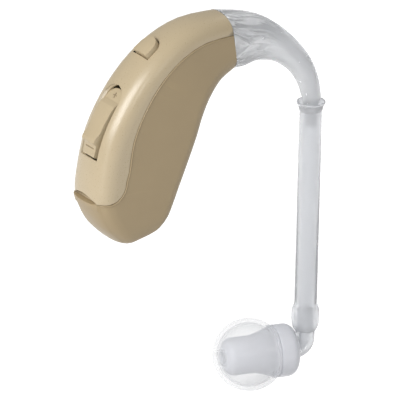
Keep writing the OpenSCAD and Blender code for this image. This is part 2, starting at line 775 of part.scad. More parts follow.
// Frame at the hook's tip, with Z up the tube.
module tip_place() {
    translate([tip_x, 0, -tip_drop])
        rotate([0, tube_lean, 0])
            children();
}
cone_l = 2.3;
nipple_l = 4.8;
function hook_row(k) = let(h = hook_shares[k])
    [tip_x + h[0] * bend_r, h[1] * bend_r - tip_drop, h[2], h[3] * bend_r, h[4] * bend_r,
        h[3] * bend_r * 0.48, h[3] * bend_r * 0.48];
// A round section at a point of the hook's centreline.
function pipe_row(p, lean, r) = [p.x, p.y, lean, 2 * r, 2 * r, 0.96 * r, 0.96 * r];
function tip_row(drop, r) =
    pipe_row([tip_x, -tip_drop] - drop * [sin(tube_lean), cos(tube_lean)], -180 - tube_lean, r);
function neck_row(run, r) = pipe_row(seam + run * seam_dir, back_a - 180, r);
function bend_row(c, bend, a, r) = pipe_row(c + bend * [cos(a), sin(a)], a - 180, r);
hook_rows = concat([station(top_s)], [for (k = [0:5]) hook_row(k)], [tip_row(0, hook_tip_r)]);
// The bore from the nipple's end up to the seam, where it widens for the nozzle.
bore_rows = concat(
    [tip_row(nipple_l, hook_bore_r)],
    [for (k = [0:9]) bend_row(bend_c, bend_r, bend_a * k / 9, hook_bore_r)],
    [bend_row(back_c, back_bend_r, bend_a, hook_bore_r)],
    [for (k = [2:10]) bend_row(back_c, back_bend_r, bend_a + back_bend_a * k / 11, chamber_r)],
    [neck_row(nozzle_l + seat_gap, chamber_r), neck_row(nozzle_l + seat_gap, nozzle_r + run_gap),
        neck_row(seat_gap, nozzle_r + run_gap)]);

module ear_hook() {
    m = len(hook_rows) - 1;
    start = seam + seat_gap * seam_dir;
    top = hook_rows[0];
    skin = concat([ring([start.x, start.y, top[2], top[3], top[4], top[5], top[6]], 0, 2.5)],
        [for (j = [1:m * 4]) ring(pick(hook_rows, j / 4), 0, 2.5 - 0.5 * j / (m * 4))]);
    nipple = [ring(tip_row(cone_l, nipple_r), 0, 2), ring(tip_row(nipple_l, nipple_r), 0, 2)];
    bore = [for (r = bore_rows) ring(r, 0, 2)];
    color([0.85, 0.88, 0.92, 0.5])
        sleeve(concat(skin, nipple, bore));
}

spigot_l = 3.6;
bulb_l = 4.4;
module sound_tube() {
    g = 0.02 * tube_r;
    low = -tube_l;
    mid = low + bulb_l / 2;
    rim = -0.25 * wall_t;
    wide = spigot_r + run_gap;
    rim_r = hook_tip_r + g + (nipple_r - hook_tip_r) * (-rim / cone_l);
    color([0.82, 0.86, 0.9, 0.5])
        tip_place()
            rotate_extrude($fn = 96)
                polygon(concat(
                    [[rim_r, rim], [collar_r, rim], [collar_r, rim - 0.12 * collar_l],
                        [tube_r + 0.15 * (collar_r - tube_r), rim - 0.8 * collar_l],
                        [tube_r, rim - collar_l]],
                    [for (a = [60:-15:-60]) [tube_r + (bulb_r - tube_r) * (cos(a) - 0.5) * 2,
                    mid + bulb_l / 2 * sin(a) / sin(60)]],
                    [[wide, low], [wide, low + spigot_l + run_gap],
                    [tube_bore_r, low + spigot_l + 0.5 * wall_t],
                        [tube_bore_r, -cone_l - 0.1 * wall_t]]));
}
spigot_r = 1.2;

// Elbow, turned so that its outlet runs along -X before the ear tip's turn.
module elbow_place() {
    tip_place()
        translate([0, 0, -tube_l])
            rotate([0, 0, -tip_turn])
                children();
}
plug_l = 3.2;
plug_r = 1.5;
module elbow_line(r, top, end) {
    translate([0, 0, -elbow_drop])
        cylinder(r = r, h = elbow_drop + top, $fn = 48);
    translate([-elbow_bend_r, 0, -elbow_drop])
        rotate([90, 0, 0])
            rotate([0, 0, -90])
                rotate_extrude(angle = 90, $fn = 96)
                    translate([elbow_bend_r, 0])
                        circle(r = r, $fn = 48);
    translate([-elbow_bend_r, 0, -elbow_drop - elbow_bend_r])
        rotate([0, -90, 0])
            cylinder(r = r, h = end, $fn = 48);
}
module tube_elbow() {
    color([0.8, 0.85, 0.9, 0.6])
        elbow_place()
            difference() {
                union() {
                    elbow_line(elbow_r, -seat_gap, tip_gap);
                    cylinder(r = spigot_r, h = 2 * spigot_l, center = true, $fn = 48);
                    translate([-elbow_bend_r, 0, -elbow_drop - elbow_bend_r])
                        rotate([0, -90, 0])
                            cylinder(r = plug_r, h = tip_gap + plug_l, $fn = 48);
                }
                elbow_line(elbow_bore_r, spigot_l + over, tip_gap + plug_l + over);
            }
}
tip_gap = 0.1;
neck_l = 4.1;
dome_at = 7.6;
module ear_tip() {
    out = dome_at + dome_r;
    mouth = outlet_r + 0.5 * wall_t;
    inner = dome_r - dome_t;
    skirt_a = 54;
    rear_r = 1.5 * wall_t;
    open_a = asin(mouth / dome_r);
    color([0.93, 0.94, 0.95, 0.8])
        elbow_place()
            translate([-elbow_bend_r - tip_gap - seat_gap, 0, -elbow_drop - elbow_bend_r])
                rotate([0, -90, 0])
                    rotate_extrude($fn = 96)
                        polygon(concat(
                            [[plug_r + run_gap, 0]],
                            [for (a = [0:15:90])
                                [barrel_r - rear_r * (1 - sin(a)), rear_r * (1 - cos(a))]],
                            [[barrel_r, neck_l - 0.4 * wall_t], [barrel_r - 0.25 * wall_t, neck_l],
                                [0.92 * barrel_r, neck_l + 0.3 * wall_t],
                                [stem_r + 0.35 * wall_t, neck_l + 1.6 * wall_t],
                                [stem_r, neck_l + 3.2 * wall_t],
                                [stem_r, dome_at + inner * cos(asin(stem_r / inner))]],
                            [for (a = [40:7:180 - skirt_a]) if (inner * sin(a) > stem_r + 0.1 * wall_t)
                                [inner * sin(a), dome_at + inner * cos(a)]],
                            [for (a = [180 - skirt_a:-8:open_a])
                                [dome_r * sin(a), dome_at + dome_r * cos(a)]],
                            [[mouth, dome_at + dome_r * cos(open_a)],
                                [outlet_r, dome_at + dome_r * cos(open_a) - 0.3 * wall_t],
                                [outlet_r, plug_l + tip_gap + wall_t],
                                [plug_r + run_gap, plug_l + tip_gap]]));
}

spine_cover();
body_shell();
inner_frame();
program_button();
button_switch();
volume_rocker();
rocker_pivot_pin();
rocker_switches();
circuit_board();
amplifier_chip();
board_components();
microphone();
microphone_boot();
receiver();
receiver_boot();
receiver_tube();
hook_nozzle();
telecoil();
positive_contact();
negative_contact();
battery_door();
door_hinge_pin();
battery_can();
battery_grommet();
battery_cap();
ear_hook();
sound_tube();
tube_elbow();
ear_tip();
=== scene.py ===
"""Behind-the-ear hearing aid: skins, clear pieces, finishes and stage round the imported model."""

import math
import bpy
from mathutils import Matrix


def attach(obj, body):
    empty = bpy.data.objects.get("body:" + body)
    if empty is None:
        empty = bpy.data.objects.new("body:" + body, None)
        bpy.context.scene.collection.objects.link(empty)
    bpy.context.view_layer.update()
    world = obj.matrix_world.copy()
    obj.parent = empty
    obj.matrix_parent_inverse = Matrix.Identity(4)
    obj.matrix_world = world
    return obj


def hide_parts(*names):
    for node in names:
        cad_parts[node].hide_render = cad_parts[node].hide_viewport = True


bl_info = {
    "name": "Hearing aid dresser",
    "version": (1, 0, 0),
    "blender": (4, 5, 0),
    "location": "View3D > Sidebar > Hearing aid",
    "description":
        "Builds the covers, controls, clear hook, tube, elbow and ear tip, with their finishes",
    "category": "Object",
}

import bpy
import bmesh
from mathutils import Matrix, Vector

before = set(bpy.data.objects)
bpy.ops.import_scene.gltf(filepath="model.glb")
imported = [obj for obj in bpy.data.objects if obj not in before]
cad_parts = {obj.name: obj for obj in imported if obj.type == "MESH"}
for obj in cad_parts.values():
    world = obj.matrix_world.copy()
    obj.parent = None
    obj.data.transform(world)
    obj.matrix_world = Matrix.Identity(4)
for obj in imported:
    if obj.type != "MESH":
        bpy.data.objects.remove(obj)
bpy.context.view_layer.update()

MM = 0.001

# Driving sizes, as the solid model has them.
CASE_LENGTH = 36 * MM
CASE_WIDTH = 9.4 * MM
CELL_RADIUS = 3.95 * MM
CHAMBER = CELL_RADIUS + 0.7 * MM
HOOK_BEND = 11 * MM
HOOK_BACK_BEND = 7.9 * MM
HOOK_RUN = 5.35 * MM
HOOK_BEND_TURN = 45
HOOK_BACK_TURN = 53
HOOK_TIP = Vector((10.7 * MM, 0, -8.75 * MM))
HOOK_TIP_RADIUS = 1.55 * MM
HOOK_BORE = 0.65 * MM
HOOK_CHAMBER = 1.3 * MM
NOZZLE_RADIUS = 1.6 * MM
NOZZLE_LENGTH = 3 * MM
NIPPLE_RADIUS = 0.94 * MM
NIPPLE_LENGTH = 4.8 * MM
CONE_LENGTH = 2.3 * MM
SEAT_GAP = 0.05 * MM
RUN_GAP = 0.03 * MM
TUBE_LEAN = 1.4
TUBE_LENGTH = 39.8 * MM
TUBE_RADIUS = 1.8 * MM
TUBE_BORE = 0.97 * MM
COLLAR_RADIUS = 2.28 * MM
COLLAR_LENGTH = 1.5 * MM
COLLAR_RIM = -0.85 * MM
BULB_RADIUS = 2.3 * MM
BULB_LENGTH = 4.4 * MM
SPIGOT_RADIUS = 1.2 * MM
SPIGOT_LENGTH = 3.6 * MM
ELBOW_RADIUS = 1.57 * MM
ELBOW_BORE = 0.7 * MM
ELBOW_BEND = 1.75 * MM
ELBOW_DROP = 1.45 * MM
TIP_TURN = 12
TIP_GAP = 0.1 * MM
PLUG_RADIUS = 1.5 * MM
PLUG_LENGTH = 3.2 * MM
DOME_RADIUS = 5.83 * MM
DOME_SKIN = 0.7 * MM
DOME_AT = 7.6 * MM
STEM_RADIUS = 3.05 * MM
BARREL_RADIUS = 4.25 * MM
BARREL_LENGTH = 4.1 * MM
BARREL_REAR = 1.5 * MM
OUTLET_RADIUS = 1 * MM

# Sections of the housing, bottom first: centre x and z, lean in degrees, depth, width and the
# depths of the two rounded sides. The first five are shares of CHAMBER from the button cell's
# centre, the others shares of CASE_LENGTH from the hook's seam. Width is a share of CASE_WIDTH.
CELL_SHARES = (-0.525, -0.653)
CHAMBER_SHARES = (
    (0.250, -1.138, 12, 1.02, 0.68, 0.36, 0.36),
    (0.346, -0.991, 11, 1.68, 0.87, 0.50, 0.48),
    (0.364, -0.689, 10, 2.32, 0.96, 0.62, 0.54),
    (0.279, -0.209, 8, 2.95, 0.99, 0.69, 0.56),
    (0.248, 0.557, 3, 3.55, 1.00, 0.71, 0.56),
)
UPPER_SHARES = (
    (-0.462, -0.456, -2, 0.489, 1.00, 0.092, 0.072),
    (-0.423, -0.337, -9, 0.492, 1.00, 0.092, 0.072),
    (-0.370, -0.228, -18, 0.458, 0.99, 0.089, 0.072),
    (-0.298, -0.131, -30, 0.417, 0.96, 0.086, 0.078),
    (-0.211, -0.059, -46, 0.373, 0.90, 0.083, 0.083),
    (-0.117, -0.017, -64, 0.325, 0.83, 0.081, 0.089),
    (0, 0, -82, 0.264, 0.766, 0.078, 0.092),
)
# Sections of the hook after the seam, as shares of HOOK_BEND from its tip.
HOOK_SHARES = (
    (-1.238, 1.172, -91, 0.808, 0.609),
    (-0.975, 1.124, -105, 0.674, 0.545),
    (-0.728, 1.003, -122, 0.555, 0.473),
    (-0.473, 0.829, -137, 0.442, 0.418),
    (-0.221, 0.562, -151, 0.362, 0.373),
    (-0.069, 0.274, -166, 0.306, 0.336),
)
HOOK_ROUND = 0.48
COVER_POWER = 2.5
# Places along the back, counted in sections of the housing from the bottom.
BUTTON_STATION = 8.67
ROCKER_STATION = 6.4
PLUS_STATION = 7.2
MINUS_STATION = 5.64
# The parting line: its place across each section, the cover's lower edge over the button cell's
# centre as a share of CHAMBER, and the cover's lower corner.
PART_SHARES = (0.3, 0.3, 0.3, 0.3, 0.29, 0.285, 0.253, 0.24, 0.236, 0.245, 0.268, 0.3)
COVER_LOW = 0.52
COVER_CORNER = 3.2 * MM
DOOR_HALF_WIDTH = 3.65 * MM

# Sizes of the skins alone. The tray's bead lies beside the parting line, with its middle sunk in the
# flank. The button and rocker keep this share of their width. The button's cap, the part this near
# its top, is lifted. The ear tip's core ends short of the dome, with a rounded end.
BEAD_RADIUS = 0.13 * MM
BEAD_GAP = 0.12 * MM
BEAD_SUNK = 0.02 * MM
CONTROL_SHARE = 0.93
CAP_TOP = 0.3 * MM
CAP_LIFT = 0.2 * MM
BUTTON_EDGE = 0.16 * MM
ROCKER_EDGE = 0.2 * MM
SIGN_WIDTH = 0.2 * MM
SIGN_DEPTH = 0.16 * MM
SIGN_EDGE = 0.05 * MM
CORE_SHORT = 0.8 * MM
CORE_END = 1.5 * MM

# How much the roughness swings from grain to grain.
GLOSS_SWING = 0.16
# The finishes of the inner pieces: the pieces, the finish's name, its colour on screen, roughness,
# colour drift, grain, relief and metallic share.
INNER_FINISHES = (
    (("button_switch", "rocker_pivot_pin", "rocker_switches", "door_hinge_pin"),
     "pin steel", (0.75, 0.76, 0.78), 0.28, 0.03, 9000, 0.05, 1),
    (("microphone", "receiver", "battery_can"),
     "nickel can", (0.78, 0.78, 0.8), 0.22, 0.03, 7000, 0.04, 1),
    (("positive_contact", "negative_contact"),
     "contact gilt", (0.85, 0.7, 0.38), 0.25, 0.04, 9000, 0.05, 1),
    (("inner_frame",), "frame nylon", (0.23, 0.23, 0.25), 0.5, 0.08, 4000, 0.2, 0),
    (("circuit_board",), "board lacquer", (0.12, 0.36, 0.2), 0.3, 0.25, 2500, 0.3, 0),
    (("amplifier_chip",), "chip resin", (0.09, 0.09, 0.1), 0.45, 0.1, 8000, 0.2, 0),
    (("board_components",), "ceramic body", (0.5, 0.42, 0.32), 0.5, 0.15, 6000, 0.2, 0),
    (("microphone_boot",), "boot rubber", (0.16, 0.16, 0.17), 0.6, 0.08, 4000, 0.25, 0),
    (("receiver_boot",), "sleeve rubber", (0.18, 0.18, 0.19), 0.6, 0.08, 4000, 0.25, 0),
    (("receiver_tube",), "feed rubber", (0.7, 0.7, 0.72), 0.45, 0.05, 4000, 0.1, 0),
    (("hook_nozzle",), "nozzle plastic", (0.86, 0.87, 0.88), 0.3, 0.03, 4000, 0.05, 0),
    (("telecoil",), "coil enamel", (0.72, 0.42, 0.22), 0.3, 0.3, 5000, 0.5, 0.7),
    (("battery_grommet",), "seal nylon", (0.22, 0.32, 0.55), 0.5, 0.06, 5000, 0.1, 0),
    (("battery_cap",), "cap steel", (0.83, 0.83, 0.84), 0.18, 0.02, 9000, 0.03, 1),
)

# The stage: the point that the camera and lamps look at, and the view's turn and rise in degrees.
AIM = Vector((-7.47, 4.17, -23.83)) * MM
VIEW_TURN = -33
VIEW_RISE = 23
VIEW_LENS = 800
FLOOR_LEVEL = -60 * MM
# The lamps: the way from the aim to each, its distance and two sizes in metres, and its watts.
LAMPS = (
    ("key", (-0.82, -0.25, 0.6), 0.3, (0.16, 0.16), 0.54),
    ("strip", (-0.9, -0.39, 0.12), 0.3, (0.03, 0.24), 0.054),
    ("front", (-0.42, -0.78, 0.5), 0.4, (0.02, 0.1), 0.1),
    ("side", (0.05, -0.95, 0.38), 0.4, (0.02, 0.1), 0.05),
    ("rim", (0.75, 0.35, 0.6), 0.35, (0.1, 0.1), 0.14),
)


def turned(degrees, length=1.0):
    """A point at that angle and distance, in the X and Z plane."""
    turn = math.radians(degrees)
    return Vector((math.cos(turn) * length, math.sin(turn) * length))


# The hook's centreline from its tip back to the housing's seam.
BEND_CENTRE = Vector((HOOK_TIP.x - HOOK_BEND, HOOK_TIP.z))
RUN_END = BEND_CENTRE + turned(HOOK_BEND_TURN, HOOK_BEND) + turned(HOOK_BEND_TURN + 90, HOOK_RUN)
BACK_CENTRE = RUN_END - turned(HOOK_BEND_TURN, HOOK_BACK_BEND)
SEAM_TURN = HOOK_BEND_TURN + HOOK_BACK_TURN
SEAM_DIRECTION = turned(SEAM_TURN - 90)
SEAM = BACK_CENTRE + turned(SEAM_TURN, HOOK_BACK_BEND) - NOZZLE_LENGTH * SEAM_DIRECTION
CELL_CENTRE = SEAM + CASE_LENGTH * Vector(CELL_SHARES)


def housing_rows():
    """The housing's sections in metres, bottom first."""
    rows = []
    for start, unit, shares in (
        (CELL_CENTRE, CHAMBER, CHAMBER_SHARES), (SEAM, CASE_LENGTH, UPPER_SHARES),
    ):
        for x, z, lean, deep, wide, back, front in shares:
            rows.append((
                start.x + x * unit, start.y + z * unit, lean,
                deep * unit, wide * CASE_WIDTH, back * unit, front * unit))
    return rows


HOUSING = housing_rows()
TOP = len(HOUSING) - 1


def pick(rows, s):
    """A row between two rows, on a smooth curve through all of them."""
    last = len(rows) - 1
    i = min(int(s), last - 1)
    t = s - i
    quads = zip(rows[max(i - 1, 0)], rows[i], rows[i + 1], rows[min(i + 2, last)])
    return tuple(
        0.5 * (2 * b + (c - a) * t + (2 * a - 5 * b + 4 * c - d) * t * t
               + (3 * b - a - 3 * c + d) * t ** 3)
        for a, b, c, d in quads
    )


def back_point(s):
    x, z, lean, deep = pick(HOUSING, s)[:4]
    return Vector((x, z)) + turned(lean, -deep / 2)


def parting_point(s, beside):
    """A point of the parting line in the X and Z plane, that far towards the ear."""
    x, z, lean, deep = pick(HOUSING, s)[:4]
    share = pick([(value,) for value in PART_SHARES], s)[0]
    return Vector((x, z)) + turned(lean, (share - 0.5) * deep + beside)


def flank_width(point):
    """Half the housing's width over a point of the X and Z plane."""
    steps = 40
    before = None
    for k in range(TOP * steps + 1):
        x, z, lean, deep, wide, back, front = pick(HOUSING, k / steps)
        offset = point - Vector((x, z))
        side = offset.dot(turned(lean + 90))
        if before is not None and before >= 0 > side:
            along = offset.dot(turned(lean))
            in_by, depth = (along + deep / 2, back) if along < 0 else (deep / 2 - along, front)
            rest = min(max(1 - in_by / depth, 0), 1)
            return wide / 2 * (1 - rest ** COVER_POWER) ** (1 / COVER_POWER)
        before = side
    return pick(HOUSING, TOP)[4] / 2


def on_back(s, height=0.0):
    """A frame on the back: X along it towards the hook, Z outward."""
    step = 0.25
    p = back_point(s)
    ahead = back_point(min(s + step, TOP)) - back_point(s - step)
    turn = Matrix.Rotation(-math.atan2(ahead.y, ahead.x), 4, "Y")
    return Matrix.Translation((p.x, 0, p.y)) @ turn @ Matrix.Translation((0, 0, height))


def section(row, inset, power, steps):
    """The points of one section, as a ring round it, drawn inside its outline by inset."""
    x, z, lean, deep, wide, back, front = row
    half = wide / 2 - inset
    reach = deep / 2 - inset
    rounds = [max(back - inset, half / 4), max(front - inset, half / 4)]
    ring = []
    for side in (0, 1):
        for k in range(steps + 1):
            q = math.radians(180 * (k if side == 0 else steps - k) / steps - 90)
            in_by = rounds[side] * (1 - abs(math.cos(q)) ** (2 / power))
            y = math.copysign(half * abs(math.sin(q)) ** (2 / power), math.sin(q))
            p = Vector((x, z)) + turned(lean, in_by - reach if side == 0 else reach - in_by)
            ring.append(Vector((p.x, y, p.y)))
    return ring


def pipe_row(point, lean, radius):
    return (point.x, point.y, lean, 2 * radius, 2 * radius, 0.96 * radius, 0.96 * radius)


def tip_frame():
    return Matrix.Translation(HOOK_TIP) @ Matrix.Rotation(math.radians(TUBE_LEAN), 4, "Y")


def elbow_frame():
    return (
        tip_frame()
        @ Matrix.Translation((0, 0, -TUBE_LENGTH))
        @ Matrix.Rotation(math.radians(-TIP_TURN), 4, "Z")
    )


def ear_tip_frame():
    start = Matrix.Translation((-ELBOW_BEND - TIP_GAP - SEAT_GAP, 0, -ELBOW_DROP - ELBOW_BEND))
    return elbow_frame() @ start @ Matrix.Rotation(math.radians(-90), 4, "Y")


# Modelling helpers.


def deselect():
    if bpy.context.object and bpy.context.object.mode != "OBJECT":
        bpy.ops.object.mode_set(mode="OBJECT")
    bpy.ops.object.select_all(action="DESELECT")


def choose(piece):
    """Make the piece the active one, and the only one selected."""
    deselect()
    piece.select_set(True)
    bpy.context.view_layer.objects.active = piece


def active():
    return bpy.context.view_layer.objects.active


def joined(pieces):
    """The pieces as one, with the name of the first."""
    choose(pieces[0])
    for piece in pieces[1:]:
        piece.select_set(True)
    if len(pieces) > 1:
        bpy.ops.object.join()
    return active()


def edit_points(piece):
    mesh = bmesh.from_edit_mesh(piece.data)
    mesh.verts.ensure_lookup_table()
    return mesh


def drawn_ring(name, points):
    """A circle with as many corners as points, each drawn to its point. It is left in edit mode."""
    deselect()
    bpy.ops.mesh.primitive_circle_add(vertices=len(points), radius=MM, enter_editmode=True)
    piece = active()
    piece.name = name
    piece.data.name = name
    mesh = edit_points(piece)
    for vert, point in zip(mesh.verts, points):
        vert.co = point
    bmesh.update_edit_mesh(piece.data)
    return piece


def skin(name, rings, closed):
    """A ring extruded from section to section. closed joins the last to the first, or caps both."""
    count = len(rings[0])
    piece = drawn_ring(name, rings[0])
    bpy.ops.mesh.select_all(action="SELECT")
    for level, ring in enumerate(rings[1:], 1):
        bpy.ops.mesh.extrude_edges_move()
        mesh = edit_points(piece)
        first = level * count
        order = {}
        for k, point in enumerate(ring):
            below = mesh.verts[first - count + k]
            above = next(v for e in below.link_edges for v in e.verts if v.index >= first)
            above.co = point
            order[above.index] = first + k
        if any(old != new for old, new in order.items()):
            for old, new in order.items():
                mesh.verts[old].index = new
            mesh.verts.sort()
        bmesh.update_edit_mesh(piece.data)
    mesh = edit_points(piece)
    ends = (range(count), range((len(rings) - 1) * count, len(rings) * count))
    for group in [list(ends[0]) + list(ends[1])] if closed else [list(e) for e in ends]:
        bpy.ops.mesh.select_all(action="DESELECT")
        mesh = edit_points(piece)
        for k in group:
            mesh.verts[k].select_set(True)
        mesh.select_flush(True)
        for edge in mesh.edges:
            edge.select_set(len(edge.link_faces) == 1 and all(v.select for v in edge.verts))
        bmesh.update_edit_mesh(piece.data)
        if closed:
            bpy.ops.mesh.bridge_edge_loops()
        else:
            bpy.ops.mesh.edge_face_add()
    bpy.ops.mesh.select_all(action="SELECT")
    bpy.ops.mesh.normals_make_consistent(inside=False)
    bpy.ops.object.mode_set(mode="OBJECT")
    return piece


def bar_along(name, line, radius, sides=10):
    """A round bar along a line of points."""
    rings = []
    for k, here in enumerate(line):
        along = (line[min(k + 1, len(line) - 1)] - line[max(k - 1, 0)]).normalized()
        across = (Vector((0, 1, 0)) - along.y * along).normalized()
        third = along.cross(across)
        rings.append([
            here + radius * (math.cos(a) * across + math.sin(a) * third)
            for a in (math.tau * j / sides for j in range(sides))
        ])
    return skin(name, rings, False)


def revolve(name, profile, place, steps=96):
    """A closed profile of radius and height, spun round the place's Z."""
    piece = drawn_ring(name, [place @ Vector((r, 0, z)) for r, z in profile])
    bpy.ops.mesh.select_all(action="SELECT")
    axis = place.to_3x3() @ Vector((0, 0, 1))
    bpy.ops.mesh.spin(steps=steps, dupli=False, angle=math.tau, center=place.translation, axis=axis)
    bpy.ops.mesh.select_all(action="SELECT")
    bpy.ops.mesh.remove_doubles(threshold=0.0005 * MM)
    bpy.ops.mesh.normals_make_consistent(inside=False)
    bpy.ops.object.mode_set(mode="OBJECT")
    return piece


def softened(points, radius, steps=5):
    """The corners of a closed outline, each rounded by an arc where its sides leave room."""
    out = []
    count = len(points)
    for k in range(count):
        before, here, after = (Vector(points[(k + d) % count]) for d in (-1, 0, 1))
        a = before - here
        b = after - here
        reach = min(radius, a.length * 0.45, b.length * 0.45)
        if a.normalized().dot(b.normalized()) < -0.985:
            out.append(tuple(here))
            continue
        start = here + a.normalized() * reach
        end = here + b.normalized() * reach
        for j in range(steps + 1):
            t = j / steps
            out.append(tuple((1 - t) ** 2 * start + 2 * t * (1 - t) * here + t * t * end))
    return out


def add_modifier(piece, kind, **values):
    """A modifier with these values, applied at once."""
    choose(piece)
    modifier = piece.modifiers.new(kind.title(), kind)
    for key, value in values.items():
        setattr(modifier, key, value)
    bpy.ops.object.modifier_apply(modifier=modifier.name)


def bevelled(piece, width, segments, degrees=38):
    """Round the edges where the surface turns by more than these degrees."""
    add_modifier(
        piece, "BEVEL", width=width, segments=segments, limit_method="ANGLE",
        angle_limit=math.radians(degrees), use_clamp_overlap=True)


def smooth(piece, degrees=40):
    choose(piece)
    bpy.ops.object.shade_smooth_by_angle(angle=math.radians(degrees))


def cad_copy(node, name):
    """A merged copy of a CAD solid's mesh, free of its body."""
    choose(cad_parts[node])
    bpy.ops.object.duplicate()
    piece = active()
    piece.name = name
    piece.data.name = name
    for key in list(piece.keys()):
        del piece[key]
    piece.parent = None
    piece.matrix_world = Matrix.Identity(4)
    bpy.ops.object.mode_set(mode="EDIT")
    bpy.ops.mesh.select_all(action="SELECT")
    bpy.ops.mesh.remove_doubles(threshold=0.03 * MM)
    bpy.ops.mesh.normals_make_consistent(inside=False)
    bpy.ops.object.mode_set(mode="OBJECT")
    return piece


def finished(piece, body, slot, material, *nodes):
    """The piece takes its finish, rides on its body and stands for its CAD nodes."""
    piece.data.materials.clear()
    piece.data.materials.append(material)
    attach(piece, body)
    if nodes:
        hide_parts(*nodes)
    return piece


# Finishes.


def node_group(name, inputs, outputs):
    """An empty shader node group with these sockets, each a name, a kind and a default."""
    group = bpy.data.node_groups.new(name, "ShaderNodeTree")
    for title, kind, value in inputs:
        socket = group.interface.new_socket(title, in_out="INPUT", socket_type=kind)
        if value is not None:
            socket.default_value = value
    for title, kind in outputs:
        group.interface.new_socket(title, in_out="OUTPUT", socket_type=kind)
    return group


def node_with(nodes, kind, **values):
    """A new node with these values at its inputs. An underscore stands for a space."""
    node = nodes.new(kind)
    for title, value in values.items():
        node.inputs[title.replace("_", " ")].default_value = value
    return node


def wire(links, steps):
    """Link each step: a node, its output, the next node and its input."""
    for source, output, target, entry in steps:
        links.new(source.outputs[output], target.inputs[entry])


def math_node(nodes, kind, *values):
    """A new maths node, with a value at each input that is given one."""
    node = nodes.new("ShaderNodeMath")
    node.operation = kind
    for socket, value in zip(node.inputs, values):
        if value is not None:
            socket.default_value = value
    return node


def make_moulding():
    """Fine moulding grain: a little colour drift, uneven gloss and a shallow relief."""
    group = node_group(
        "moulding",
        [
            ("Colour", "NodeSocketColor", None),
            ("Drift", "NodeSocketFloat", 0.06),
            ("Roughness", "NodeSocketFloat", 0.4),
            ("Grain", "NodeSocketFloat", 5000.0),
            ("Relief", "NodeSocketFloat", 0.1),
        ],
        [
            ("Colour", "NodeSocketColor"),
            ("Roughness", "NodeSocketFloat"),
            ("Normal", "NodeSocketVector"),
        ],
    )
    nodes, links = group.nodes, group.links
    enter = nodes.new("NodeGroupInput")
    leave = nodes.new("NodeGroupOutput")
    place = nodes.new("ShaderNodeTexCoord")
    drift = node_with(nodes, "ShaderNodeTexNoise", Scale=260, Detail=3)
    grain = node_with(nodes, "ShaderNodeTexNoise", Detail=2)
    swing = node_with(nodes, "ShaderNodeMapRange", To_Min=-1, To_Max=1)
    amount = math_node(nodes, "MULTIPLY")
    value = math_node(nodes, "ADD", 1)
    shade = nodes.new("ShaderNodeHueSaturation")
    gloss = math_node(nodes, "MULTIPLY_ADD", None, GLOSS_SWING)
    base = math_node(nodes, "SUBTRACT", None, GLOSS_SWING / 2)
    relief = node_with(nodes, "ShaderNodeBump", Distance=0.02 * MM)
    wire(links, (
        (place, "Object", drift, "Vector"),
        (place, "Object", grain, "Vector"),
        (enter, "Grain", grain, "Scale"),
        (drift, "Fac", swing, "Value"),
        (swing, "Result", amount, 0),
        (enter, "Drift", amount, 1),
        (amount, 0, value, 1),
        (value, 0, shade, "Value"),
        (enter, "Colour", shade, "Color"),
        (enter, "Roughness", base, 0),
        (grain, "Fac", gloss, 0),
        (base, 0, gloss, 2),
        (grain, "Fac", relief, "Height"),
        (enter, "Relief", relief, "Strength"),
        (shade, "Color", leave, "Colour"),
        (gloss, 0, leave, "Roughness"),
        (relief, "Normal", leave, "Normal"),
    ))
    return group


def make_flow_lines():
    """Flow lines of clear moulding on a piece's flow attribute, fading with its third value."""
    group = node_group(
        "flow lines",
        [("Colour", "NodeSocketColor", None)],
        [("Colour", "NodeSocketColor"), ("Normal", "NodeSocketVector")],
    )
    nodes, links = group.nodes, group.links
    enter = nodes.new("NodeGroupInput")
    leave = nodes.new("NodeGroupOutput")
    flow = nodes.new("ShaderNodeAttribute")
    flow.attribute_name = "flow"
    parts = nodes.new("ShaderNodeSeparateXYZ")
    fade = node_with(nodes, "ShaderNodeMapRange", From_Min=0.5, From_Max=0.12)
    fade.interpolation_type = "SMOOTHSTEP"
    stretch = node_with(nodes, "ShaderNodeMapping", Scale=(2.4, 2.4, 2.8))
    lines = node_with(nodes, "ShaderNodeTexNoise", Scale=1.6, Detail=2.5, Distortion=1.5)
    contrast = node_with(nodes, "ShaderNodeMapRange", From_Min=0.4, From_Max=0.6)
    shade = math_node(nodes, "MULTIPLY_ADD", None, 0.5, -0.26)
    faded = math_node(nodes, "MULTIPLY_ADD", None, None, 1)
    tint = nodes.new("ShaderNodeHueSaturation")
    height = math_node(nodes, "MULTIPLY")
    relief = node_with(nodes, "ShaderNodeBump", Distance=0.3 * MM, Strength=0.7)
    wire(links, (
        (flow, "Vector", parts, 0),
        (flow, "Vector", stretch, "Vector"),
        (parts, "Z", fade, "Value"),
        (stretch, "Vector", lines, "Vector"),
        (lines, "Fac", contrast, "Value"),
        (contrast, "Result", shade, 0),
        (shade, 0, faded, 0),
        (fade, "Result", faded, 1),
        (faded, 0, tint, "Value"),
        (enter, "Colour", tint, "Color"),
        (contrast, "Result", height, 0),
        (fade, "Result", height, 1),
        (height, 0, relief, "Height"),
        (tint, "Color", leave, "Colour"),
        (relief, "Normal", leave, "Normal"),
    ))
    return group


def new_finish(name, colour):
    """A new material of that colour, and its shader."""
    finish = bpy.data.materials.new(name)
    finish.use_nodes = True
    finish.diffuse_color = (*colour, 1)
    return finish, finish.node_tree.nodes["Principled BSDF"]


